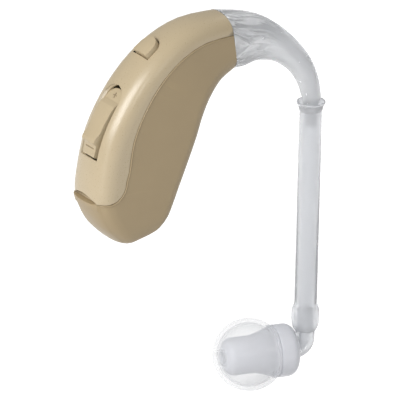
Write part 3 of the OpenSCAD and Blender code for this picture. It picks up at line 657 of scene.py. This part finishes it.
def moulded(name, colour, roughness=0.4, drift=0.06, grain=5000.0, relief=0.1, **plain):
    """A material with the moulding group in front of its own shader."""
    finish, shader = new_finish(name, colour)
    nodes, links = finish.node_tree.nodes, finish.node_tree.links
    group = nodes.new("ShaderNodeGroup")
    group.node_tree = bpy.data.node_groups["moulding"]
    for key, value in (
        ("Colour", (*colour, 1)), ("Drift", drift), ("Roughness", roughness), ("Grain", grain),
        ("Relief", relief),
    ):
        group.inputs[key].default_value = value
    for key, socket in (("Colour", "Base Color"), ("Roughness", "Roughness"), ("Normal", "Normal")):
        links.new(group.outputs[key], shader.inputs[socket])
    for key, value in plain.items():
        shader.inputs[key.replace("_", " ")].default_value = value
    return finish


def linear(rgb):
    """A colour as seen on screen, from 0 to 1, in the light values that shaders use."""
    return tuple(c / 12.92 if c <= 0.04045 else ((c + 0.055) / 1.055) ** 2.4 for c in rgb)


# Settings, and the operators, one for each piece or group of like pieces.


class AidSizes(bpy.types.PropertyGroup):
    """Sizes a user may change"""

    edge: bpy.props.FloatProperty(
        name="Edge rounding", description="Rounding of the moulded edges",
        default=0.13 * MM, min=0, max=0.2 * MM, unit="LENGTH")
    sign: bpy.props.FloatProperty(
        name="Sign length", description="Length of the plus and minus on the rocker",
        default=1.0 * MM, min=0.4 * MM, max=1.4 * MM, unit="LENGTH")
    picture_width: bpy.props.FloatProperty(
        name="Picture width", description="Width of the view at the aid",
        default=62.99 * MM, min=20 * MM, unit="LENGTH")


class AidColours(bpy.types.PropertyGroup):
    """Colours a user may change"""

    cover: bpy.props.FloatVectorProperty(
        name="Back cover", description="Colour of the back cover and controls",
        subtype="COLOR", size=3, default=linear((0.757, 0.688, 0.561)), min=0, max=1)
    # The cover and the flank tray are one beige plastic. The flank's colour is set darker than the
    # cover's as painted shade, for flanks that face away from the key lamp, and the door takes it
    # too.
    flank: bpy.props.FloatVectorProperty(
        name="Flank", description="Colour of the door, and of the tray that forms both flanks",
        subtype="COLOR", size=3, default=linear((0.679, 0.601, 0.468)), min=0, max=1)
    clear: bpy.props.FloatVectorProperty(
        name="Clear plastic", description="Tint of the hook, tube and elbow",
        subtype="COLOR", size=3, default=linear((0.955, 0.96, 0.97)), min=0, max=1)
    silicone: bpy.props.FloatVectorProperty(
        name="Silicone", description="Colour of the ear tip",
        subtype="COLOR", size=3, default=linear((0.95, 0.955, 0.965)), min=0, max=1)


class AID_OT_covers(bpy.types.Operator):
    """Round the edges of the back cover, flank tray and battery door, and give them their finish"""

    bl_idname = "aid.covers"
    bl_label = "Covers and door"

    def execute(self, context):
        sizes = context.scene.aid_sizes
        colours = context.scene.aid_colours
        cover = moulded(
            "cover satin", colours.cover, roughness=0.3, drift=0.02, relief=0.02,
            Specular_IOR_Level=0.85)
        # The flank finish's darker colour is painted shade, on the flanks, the door and the bead.
        flank = moulded("flank satin", colours.flank, roughness=0.42, drift=0.03, relief=0.04)
        steps = 6
        rings = [
            section(pick(HOUSING, s / steps), 0, COVER_POWER, 36) for s in range(TOP * steps + 1)
        ]
        form = skin("housing_form", rings, False)
        smooth(form, 60)
        for node, body, slot, finish in (
            ("spine_cover", "housing", "back_cover", cover),
            ("body_shell", "housing", "flank", flank),
            ("battery_door", "door", "flank", flank),
        ):
            piece = cad_copy(node, node + "_skin")
            bevelled(piece, sizes.edge, 2)
            smooth(piece)
            add_modifier(
                piece, "DATA_TRANSFER", object=form, use_loop_data=True,
                data_types_loops={"CUSTOM_NORMAL"}, loop_mapping="POLYINTERP_NEAREST",
                use_max_distance=True, max_distance=0.045 * MM)
            finished(piece, body, slot, finish, node)
        bpy.data.objects.remove(form)
        self.parting_bead(flank)
        return {"FINISHED"}

    @staticmethod
    def parting_bead(finish):
        """The tray's raised edge along the parting line, on both sides.

        It runs from the hook's seam down to the cover's lower corner, round that corner and on
        along the cover's foot as far as the door.
        """
        beside = BEAD_GAP + BEAD_RADIUS
        low = CELL_CENTRE.y + COVER_LOW * CHAMBER
        path = [parting_point(TOP - 0.04 - k / 4, beside) for k in range(4 * (TOP - 5))]
        path.append(parting_point(5, beside))
        corner = Vector((parting_point(4.5, 0).x - COVER_CORNER, low + COVER_CORNER))
        path += [corner + turned(-9 * k, COVER_CORNER + beside) for k in range(11)]
        foot = len(path)
        path += [Vector((corner.x - k * 0.25 * MM, low - beside)) for k in range(1, 30)]
        bars = []
        for side in (-1, 1):
            line = []
            for k, point in enumerate(path):
                half = flank_width(point)
                if k >= foot and half < DOOR_HALF_WIDTH:
                    break
                line.append(Vector((point.x, side * (half - BEAD_SUNK), point.y)))
            bars.append(bar_along("parting_bead", line, BEAD_RADIUS))
        bead = joined(bars)
        smooth(bead, 50)
        finished(bead, "housing", "flank", finish)


class AID_OT_controls(bpy.types.Operator):
    """Round the program button and the rocker, and put the plus and minus on the rocker"""

    bl_idname = "aid.controls"
    bl_label = "Button and rocker"

    def execute(self, context):
        sizes = context.scene.aid_sizes
        control = moulded(
            "control satin", context.scene.aid_colours.cover, roughness=0.36, drift=0.02, relief=0.06)
        button = cad_copy("program_button", "program_button_cap")
        self.shrink(button, BUTTON_STATION, CONTROL_SHARE, CAP_LIFT)
        bevelled(button, BUTTON_EDGE, 3)
        smooth(button)
        finished(button, "button", "control", control, "program_button")
        rocker = cad_copy("volume_rocker", "volume_rocker_key")
        self.shrink(rocker, ROCKER_STATION, 1, 0)
        bevelled(rocker, ROCKER_EDGE, 3, 22)
        smooth(rocker, 45)
        finished(rocker, "rocker", "control", control, "volume_rocker")
        # The plus and minus are flush bars in a darker colour. The colour is painted shade that
        # stands in for the shading of engraved signs.
        sign_shade = moulded(
            "sign painted shade", linear((0.6, 0.53, 0.42)), roughness=0.5, drift=0.02, relief=0.05)
        for name, station, height, length, turns in (
            ("rocker_plus", PLUS_STATION, -0.68 * MM, 0.9 * sizes.sign, (0, 90)),
            ("rocker_minus", MINUS_STATION, -0.05 * MM, 2.2 * sizes.sign, (90,)),
        ):
            bars = []
            for turn in turns:
                deselect()
                bpy.ops.mesh.primitive_cube_add(size=1, enter_editmode=True)
                bar = active()
                bpy.ops.transform.resize(value=(length, SIGN_WIDTH, SIGN_DEPTH))
                bpy.ops.mesh.bevel(offset=SIGN_EDGE, segments=2)
                bpy.ops.object.mode_set(mode="OBJECT")
                place = on_back(station, height) @ Matrix.Rotation(math.radians(turn), 4, "Z")
                bar.data.transform(place)
                bars.append(bar)
            sign = joined(bars)
            sign.name = name
            sign.data.name = name
            smooth(sign)
            finished(sign, "rocker", "control", sign_shade)
        return {"FINISHED"}

    @staticmethod
    def shrink(piece, station, along, lift):
        """Narrow a control across the back, scale it along the back, and lift its top."""
        place = on_back(station)
        back = place.inverted()
        points = [back @ vert.co for vert in piece.data.vertices]
        middle = (min(p.x for p in points) + max(p.x for p in points)) / 2
        top = max(p.z for p in points)
        for vert, p in zip(piece.data.vertices, points):
            rise = lift if p.z > top - CAP_TOP else 0
            vert.co = place @ Vector((
                middle + (p.x - middle) * along, p.y * CONTROL_SHARE, p.z + rise))


class AID_OT_hook(bpy.types.Operator):
    """Draw the clear hook as one skin down its outside and back up its bore"""

    bl_idname = "aid.hook"
    bl_label = "Ear hook"

    def execute(self, context):
        top = HOUSING[TOP]
        rows = [top] + [
            (HOOK_TIP.x + x * HOOK_BEND, HOOK_TIP.z + z * HOOK_BEND, lean,
             deep * HOOK_BEND, wide * HOOK_BEND,
             HOOK_ROUND * deep * HOOK_BEND, HOOK_ROUND * deep * HOOK_BEND)
            for x, z, lean, deep, wide in HOOK_SHARES
        ] + [self.tip_row(0, HOOK_TIP_RADIUS)]
        arc, fine = 19, 8
        last = (len(rows) - 1) * fine
        edge = 0.18 * MM
        rings = []
        # The rounded edge at the seam, the outside down to the nipple, and the bore back up.
        for k in range(4):
            q = math.radians(30 * k)
            slide = (SEAT_GAP + edge * (1 - math.cos(math.radians(90) - q))) * SEAM_DIRECTION
            row = (top[0] + slide.x, top[1] + slide.y, *top[2:])
            rings.append(section(row, edge * (1 - math.sin(q)), COVER_POWER, arc))
        for j in range(1, last + 1):
            power = COVER_POWER - (COVER_POWER - 2) * j / last
            rings.append(section(pick(rows, j / fine), 0, power, arc))
        rings.append(section(self.tip_row(CONE_LENGTH, NIPPLE_RADIUS), 0, 2, arc))
        rings.append(section(self.tip_row(NIPPLE_LENGTH, NIPPLE_RADIUS), 0, 2, arc))
        bore = [self.tip_row(NIPPLE_LENGTH, HOOK_BORE)]
        bore += [
            self.bend_row(BEND_CENTRE, HOOK_BEND, HOOK_BEND_TURN * k / 16, HOOK_BORE)
            for k in range(17)
        ]
        bore.append(self.bend_row(BACK_CENTRE, HOOK_BACK_BEND, HOOK_BEND_TURN, HOOK_BORE))
        for k in range(3, 24):
            widen = min((k - 2) / 4, 1)
            radius = HOOK_BORE + (HOOK_CHAMBER - HOOK_BORE) * math.sin(math.radians(90) * widen)
            turn = HOOK_BEND_TURN + HOOK_BACK_TURN * k / 25
            bore.append(self.bend_row(BACK_CENTRE, HOOK_BACK_BEND, turn, radius))
        mouth = NOZZLE_RADIUS + RUN_GAP
        shoulder = NOZZLE_LENGTH + SEAT_GAP
        for run, radius in ((shoulder, HOOK_CHAMBER), (shoulder, mouth), (SEAT_GAP, mouth)):
            bore.append(self.neck_row(run, radius))
        rings += [section(row, 0, 2, arc) for row in bore]
        hook = skin("ear_hook_clear", rings, True)
        smooth(hook)
        flow = hook.data.attributes.new("flow", "FLOAT_VECTOR", "POINT")
        ring = 2 * arc + 2
        for index, item in enumerate(flow.data):
            level, k = divmod(index, ring)
            q = math.tau * k / ring
            along = min(max(level - 3, 0) / last, 1)
            item.vector = (math.cos(q), math.sin(q), along)
        finish = clear_finish(context, "clear hook", 0.5, roughness=0.24)
        self.add_streaks(finish)
        finished(hook, "housing", "clear", finish, "ear_hook")
        return {"FINISHED"}

    @staticmethod
    def add_streaks(finish):
        """Flow lines that run from the seam and fade on the way to the tip."""
        nodes, links = finish.node_tree.nodes, finish.node_tree.links
        shader = nodes["Principled BSDF"]
        group = nodes.new("ShaderNodeGroup")
        group.node_tree = make_flow_lines()
        before = shader.inputs["Base Color"].links[0].from_socket
        links.new(before, group.inputs["Colour"])
        links.new(group.outputs["Colour"], shader.inputs["Base Color"])
        links.new(group.outputs["Normal"], shader.inputs["Normal"])

    @staticmethod
    def tip_row(drop, radius):
        lean = math.radians(TUBE_LEAN)
        down = Vector((math.sin(lean), math.cos(lean))) * drop
        return pipe_row(Vector((HOOK_TIP.x, HOOK_TIP.z)) - down, -180 - TUBE_LEAN, radius)

    @staticmethod
    def bend_row(centre, bend, turn, radius):
        return pipe_row(centre + turned(turn, bend), turn - 180, radius)

    @staticmethod
    def neck_row(run, radius):
        return pipe_row(SEAM + run * SEAM_DIRECTION, SEAM_TURN - 180, radius)


def clear_finish(context, name, transmission, roughness=0.25, ior=1.5):
    """The clear plastic of the hook, tube and elbow."""
    colour = context.scene.aid_colours.clear
    return moulded(
        name, colour, roughness=roughness, drift=0.01, grain=900.0, relief=0.0,
        Transmission_Weight=transmission, IOR=ior)


class AID_OT_tube(bpy.types.Operator):
    """Spin the sound tube with its flared collar and the swelling over the elbow"""

    bl_idname = "aid.tube"
    bl_label = "Sound tube"

    def execute(self, context):
        low = -TUBE_LENGTH
        middle = low + BULB_LENGTH / 2
        rim = COLLAR_RIM
        flare = COLLAR_RADIUS - TUBE_RADIUS
        profile = softened(
            [
                (COLLAR_RADIUS - 0.25 * MM, rim - 0.12 * MM),
                (COLLAR_RADIUS - 0.2 * MM, rim),
                (COLLAR_RADIUS, rim),
                (COLLAR_RADIUS, rim - 0.3 * MM),
                (COLLAR_RADIUS - 0.24 * MM, rim - 0.44 * MM),
                (TUBE_RADIUS + 0.4 * flare, rim - 0.6 * COLLAR_LENGTH),
                (TUBE_RADIUS + 0.2 * flare, rim - 0.9 * COLLAR_LENGTH),
                (TUBE_RADIUS, rim - 1.03 * COLLAR_LENGTH),
                (TUBE_RADIUS, rim - 2 * COLLAR_LENGTH),
            ], 0.09 * MM)
        # The arcs of the first and last corner go, as the profile runs on from there.
        profile = profile[6:-6]
        for k in range(13):
            a = math.radians(60 - 10 * k)
            profile.append((
                TUBE_RADIUS + (BULB_RADIUS - TUBE_RADIUS) * (math.cos(a) - 0.5) * 2,
                middle + BULB_LENGTH / 2 * math.sin(a) / math.sin(math.radians(60))))
        wide = SPIGOT_RADIUS + RUN_GAP
        shelf = rim - 1.1 * COLLAR_LENGTH
        cone = (HOOK_TIP_RADIUS - NIPPLE_RADIUS) / CONE_LENGTH
        profile += [
            (wide, low),
            (wide, low + SPIGOT_LENGTH + RUN_GAP),
            (TUBE_BORE, low + SPIGOT_LENGTH + 0.5 * MM),
            (TUBE_BORE, -CONE_LENGTH - 0.1 * MM),
            (HOOK_TIP_RADIUS + cone * shelf + 0.04 * MM, shelf),
            (COLLAR_RADIUS - 0.4 * MM, rim - 0.45 * COLLAR_LENGTH),
        ]
        tube = revolve("sound_tube_clear", profile, tip_frame())
        smooth(tube)
        finish = clear_finish(context, "tube vinyl", 0.66, ior=1.45)
        nodes, links = finish.node_tree.nodes, finish.node_tree.links
        place = nodes.new("ShaderNodeTexCoord")
        parts = nodes.new("ShaderNodeSeparateXYZ")
        bulb_top = HOOK_TIP.z + middle + BULB_LENGTH / 2
        glassy = node_with(
            nodes, "ShaderNodeMapRange", From_Min=bulb_top - 0.5 * MM, From_Max=bulb_top + 0.5 * MM,
            To_Min=0.06, To_Max=0.16)
        links.new(place.outputs["Object"], parts.inputs[0])
        links.new(parts.outputs["Z"], glassy.inputs["Value"])
        group = next(n for n in nodes if n.bl_idname == "ShaderNodeGroup")
        links.new(glassy.outputs["Result"], group.inputs["Roughness"])
        finished(tube, "housing", "clear_tube", finish, "sound_tube")
        return {"FINISHED"}


class AID_OT_elbow(bpy.types.Operator):
    """Sweep the clear elbow from its spigot round to the plug in the ear tip"""

    bl_idname = "aid.elbow"
    bl_label = "Elbow"

    def execute(self, context):
        bend = 14
        turns = [90 * k / bend for k in range(bend + 1)]
        edge, root, point = 0.12 * MM, 0.1 * MM, 0.15 * MM
        ends = [
            (SPIGOT_LENGTH, SPIGOT_RADIUS - edge), (SPIGOT_LENGTH - edge, SPIGOT_RADIUS),
            (root, SPIGOT_RADIUS), (0.0, SPIGOT_RADIUS + root),
            (-SEAT_GAP, ELBOW_RADIUS - root), (-SEAT_GAP - edge, ELBOW_RADIUS),
        ]
        rings = [self.hoop(self.upright(z), r) for z, r in ends]
        rings += [self.hoop(self.round_bend(turn, 0), ELBOW_RADIUS) for turn in turns]
        out = TIP_GAP + PLUG_LENGTH
        plug = [
            (TIP_GAP - 0.05 * MM, ELBOW_RADIUS), (TIP_GAP, PLUG_RADIUS), (out - point, PLUG_RADIUS),
            (out, PLUG_RADIUS - point), (out, ELBOW_BORE),
        ]
        rings += [self.hoop(self.round_bend(90, run), r) for run, r in plug]
        rings += [self.hoop(self.round_bend(90 - turn, 0), ELBOW_BORE) for turn in turns]
        rings.append(self.hoop(self.upright(SPIGOT_LENGTH), ELBOW_BORE))
        elbow = skin("tube_elbow_clear", rings, True)
        smooth(elbow)
        finish = clear_finish(context, "clear elbow", 0.66, roughness=0.14, ior=1.4)
        finished(elbow, "elbow", "clear", finish, "tube_elbow")
        return {"FINISHED"}

    @staticmethod
    def upright(z):
        return elbow_frame() @ Matrix.Translation((0, 0, z))

    @staticmethod
    def round_bend(turn, run):
        return (
            elbow_frame()
            @ Matrix.Translation((-ELBOW_BEND, 0, -ELBOW_DROP))
            @ Matrix.Rotation(math.radians(turn), 4, "Y")
            @ Matrix.Translation((ELBOW_BEND, 0, -run))
        )

    @staticmethod
    def hoop(place, radius, steps=48):
        angles = [math.tau * k / steps for k in range(steps)]
        return [place @ Vector((radius * math.cos(a), radius * math.sin(a), 0)) for a in angles]


class AID_OT_ear_tip(bpy.types.Operator):
    """Spin the ear tip: its ringed barrel and stem, and the dome round them"""

    bl_idname = "aid.ear_tip"
    bl_label = "Ear tip"

    def execute(self, context):
        place = ear_tip_frame()
        colour = context.scene.aid_colours.silicone
        inner = DOME_RADIUS - DOME_SKIN
        front = DOME_AT + inner
        groove = 0.13 * MM
        core = [(PLUG_RADIUS + RUN_GAP, 0)]
        for k in range(10):
            a = math.radians(10 * k)
            core.append((
                BARREL_RADIUS - BARREL_REAR * (1 - math.sin(a)), BARREL_REAR * (1 - math.cos(a))))
        core += [
            (BARREL_RADIUS, BARREL_LENGTH - 0.85 * MM),
            (BARREL_RADIUS - groove, BARREL_LENGTH - 0.8 * MM),
            (BARREL_RADIUS - groove, BARREL_LENGTH - 0.68 * MM),
            (BARREL_RADIUS + 0.03 * MM, BARREL_LENGTH - 0.6 * MM),
            (BARREL_RADIUS + 0.03 * MM, BARREL_LENGTH - 0.25 * MM),
            (BARREL_RADIUS - 0.25 * MM, BARREL_LENGTH),
            (0.92 * BARREL_RADIUS, BARREL_LENGTH + 0.3 * MM),
            (STEM_RADIUS + 0.35 * MM, BARREL_LENGTH + 1.6 * MM),
            (STEM_RADIUS, BARREL_LENGTH + 3.2 * MM),
        ]
        # The arcs of the first and last corner go, and the last corner itself stays sharp.
        core = softened(core, 0.3 * MM)[6:-6] + [core[-1]]
        end = front - CORE_SHORT
        for k in range(9):
            a = math.radians(90 * k / 8)
            core.append((
                STEM_RADIUS - CORE_END * (1 - math.cos(a)), end - CORE_END * (1 - math.sin(a))))
        core += [
            (OUTLET_RADIUS, end),
            (OUTLET_RADIUS, PLUG_LENGTH + TIP_GAP + 1.0 * MM),
            (PLUG_RADIUS + RUN_GAP, PLUG_LENGTH + TIP_GAP),
        ]
        silicone = moulded(
            "silicone core", linear((0.935, 0.94, 0.965)), roughness=0.14, drift=0.01, grain=2500.0,
            relief=0.0, Transmission_Weight=0.08, IOR=1.45)
        barrel = revolve("ear_tip_core", core, place)
        smooth(barrel)
        finished(barrel, "tip", "silicone", silicone, "ear_tip")
        mouth = OUTLET_RADIUS + 0.5 * MM
        skirt, edge = 126, math.degrees(math.asin(mouth / DOME_RADIUS))
        dome = self.arc(DOME_RADIUS, edge, skirt)
        hem = math.radians(skirt)
        centre_r = (DOME_RADIUS - DOME_SKIN / 2) * math.sin(hem)
        centre_z = DOME_AT + (DOME_RADIUS - DOME_SKIN / 2) * math.cos(hem)
        for k in range(1, 6):
            a = hem + math.radians(30 * k)
            dome.append((
                centre_r + DOME_SKIN / 2 * math.sin(a), centre_z + DOME_SKIN / 2 * math.cos(a)))
        dome += self.arc(inner, skirt, edge)
        clear_by = 0.02 * MM
        lining = OUTLET_RADIUS + clear_by
        dome += [
            (lining + 0.3 * MM, end + clear_by), (lining, end + clear_by),
            (lining, front + 0.5 * DOME_SKIN),
        ]
        shell = revolve("ear_tip_dome", dome, place)
        smooth(shell)
        clear = moulded("silicone dome", colour, roughness=0.35, drift=0.0, grain=2500.0, relief=0.0)
        nodes, links = clear.node_tree.nodes, clear.node_tree.links
        facing = nodes.new("ShaderNodeLayerWeight")
        veil = math_node(nodes, "MULTIPLY_ADD", None, 0.18, 0.15)
        links.new(facing.outputs["Facing"], veil.inputs[0])
        links.new(veil.outputs[0], nodes["Principled BSDF"].inputs["Alpha"])
        finished(shell, "tip", "silicone", clear)
        return {"FINISHED"}

    @staticmethod
    def arc(radius, start, end, steps=32):
        """Points of radius and height round the dome's middle, between two angles from its top."""
        angles = [math.radians(start + (end - start) * k / steps) for k in range(steps + 1)]
        return [(radius * math.sin(a), DOME_AT + radius * math.cos(a)) for a in angles]


class AID_OT_inside(bpy.types.Operator):
    """Give the pieces inside the housing and the button cell their finishes"""

    bl_idname = "aid.inside"
    bl_label = "Inner pieces"

    def execute(self, context):
        for names, title, colour, roughness, drift, grain, relief, metallic in INNER_FINISHES:
            finish = moulded(
                title, linear(colour), roughness, drift, grain, relief, Metallic=metallic)
            for name in names:
                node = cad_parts[name]
                if not node.data.materials:
                    node.data.materials.append(finish)
                for index in range(len(node.data.materials)):
                    node.data.materials[index] = finish
        return {"FINISHED"}


class AID_OT_stage(bpy.types.Operator):
    """Set the pale floor, the soft lamps, the white world and the camera"""

    bl_idname = "aid.stage"
    bl_label = "Stage and camera"

    def execute(self, context):
        self.floor()
        self.world(context)
        for name, way, distance, size, power in LAMPS:
            deselect()
            place = AIM + Vector(way).normalized() * distance
            bpy.ops.object.light_add(type="AREA", location=place)
            lamp = active()
            lamp.name = "lamp_" + name
            lamp.rotation_euler = (AIM - place).to_track_quat("-Z", "Y").to_euler()
            lamp.data.shape = "RECTANGLE"
            lamp.data.size, lamp.data.size_y = size
            lamp.data.energy = power
            lamp.visible_camera = False
            lamp.visible_transmission = False
        self.camera(context)
        context.scene.view_settings.view_transform = "Standard"
        return {"FINISHED"}

    @staticmethod
    def floor():
        deselect()
        bpy.ops.mesh.primitive_plane_add(size=8, location=(0, 0, FLOOR_LEVEL), enter_editmode=True)
        bpy.ops.mesh.subdivide(number_cuts=3)
        bpy.ops.object.mode_set(mode="OBJECT")
        floor = active()
        floor.name = "floor"
        finish, shader = new_finish("paper floor", (0.65, 0.65, 0.65))
        nodes, links = finish.node_tree.nodes, finish.node_tree.links
        shader.inputs["Base Color"].default_value = finish.diffuse_color
        shader.inputs["Roughness"].default_value = 0.9
        shader.inputs["Specular IOR Level"].default_value = 0
        path = nodes.new("ShaderNodeLightPath")
        seen = math_node(nodes, "MAXIMUM")
        also = math_node(nodes, "MAXIMUM")
        wire(links, (
            (path, "Is Camera Ray", seen, 0),
            (path, "Is Glossy Ray", seen, 1),
            (seen, 0, also, 0),
            (path, "Is Transmission Ray", also, 1),
        ))
        glow = math_node(nodes, "MULTIPLY", None, 0.76)
        links.new(also.outputs[0], glow.inputs[0])
        links.new(glow.outputs[0], shader.inputs["Emission Strength"])
        shader.inputs["Emission Color"].default_value = (1, 1, 1, 1)
        floor.data.materials.append(finish)

    @staticmethod
    def world(context):
        world = bpy.data.worlds.new("white room")
        context.scene.world = world
        world.use_nodes = True
        nodes, links = world.node_tree.nodes, world.node_tree.links
        back = nodes["Background"]
        path = nodes.new("ShaderNodeLightPath")
        level = node_with(nodes, "ShaderNodeMapRange", To_Min=0.4, To_Max=1)
        refracted = math_node(nodes, "MULTIPLY", None, 0.65)
        seen = math_node(nodes, "MAXIMUM")
        wire(links, (
            (path, "Is Transmission Ray", refracted, 0),
            (path, "Is Camera Ray", seen, 0),
            (refracted, 0, seen, 1),
            (seen, 0, level, "Value"),
            (level, "Result", back, "Strength"),
        ))
        back.inputs["Color"].default_value = (1, 1, 1, 1)

    @staticmethod
    def camera(context):
        azimuth, elevation = math.radians(VIEW_TURN), math.radians(VIEW_RISE)
        back = Vector((
            math.sin(azimuth) * math.cos(elevation),
            -math.cos(azimuth) * math.cos(elevation),
            math.sin(elevation)))
        bpy.ops.object.camera_add()
        camera = active()
        camera.data.lens = VIEW_LENS
        distance = context.scene.aid_sizes.picture_width * VIEW_LENS / camera.data.sensor_width
        camera.location = AIM + back * distance
        camera.rotation_euler = (-back).to_track_quat("-Z", "Y").to_euler()
        camera.data.clip_start = 0.05
        camera.data.clip_end = 20
        context.scene.camera = camera


OPERATORS = (
    AID_OT_stage, AID_OT_covers, AID_OT_controls, AID_OT_hook, AID_OT_tube, AID_OT_elbow,
    AID_OT_ear_tip, AID_OT_inside,
)


class AID_PT_panel(bpy.types.Panel):
    """Sizes, colours and steps of the hearing aid"""

    bl_idname = "AID_PT_panel"
    bl_label = "Hearing aid"
    bl_space_type = "VIEW_3D"
    bl_region_type = "UI"
    bl_category = "Hearing aid"

    def draw(self, context):
        column = self.layout.column()
        for group in (context.scene.aid_sizes, context.scene.aid_colours):
            for key in group.bl_rna.properties.keys():
                if key not in ("rna_type", "name"):
                    column.prop(group, key)
        for operator in OPERATORS:
            column.operator(operator.bl_idname)


CLASSES = (AidSizes, AidColours, *OPERATORS, AID_PT_panel)


def register():
    for item in CLASSES:
        bpy.utils.register_class(item)
    bpy.types.Scene.aid_sizes = bpy.props.PointerProperty(type=AidSizes)
    bpy.types.Scene.aid_colours = bpy.props.PointerProperty(type=AidColours)


def unregister():
    del bpy.types.Scene.aid_colours
    del bpy.types.Scene.aid_sizes
    for item in reversed(CLASSES):
        bpy.utils.unregister_class(item)


def main():
    register()
    make_moulding()
    bpy.ops.aid.stage()
    bpy.ops.aid.covers()
    bpy.ops.aid.controls()
    bpy.ops.aid.hook()
    bpy.ops.aid.tube()
    bpy.ops.aid.elbow()
    bpy.ops.aid.ear_tip()
    bpy.ops.aid.inside()


if __name__ == "__main__":
    main()
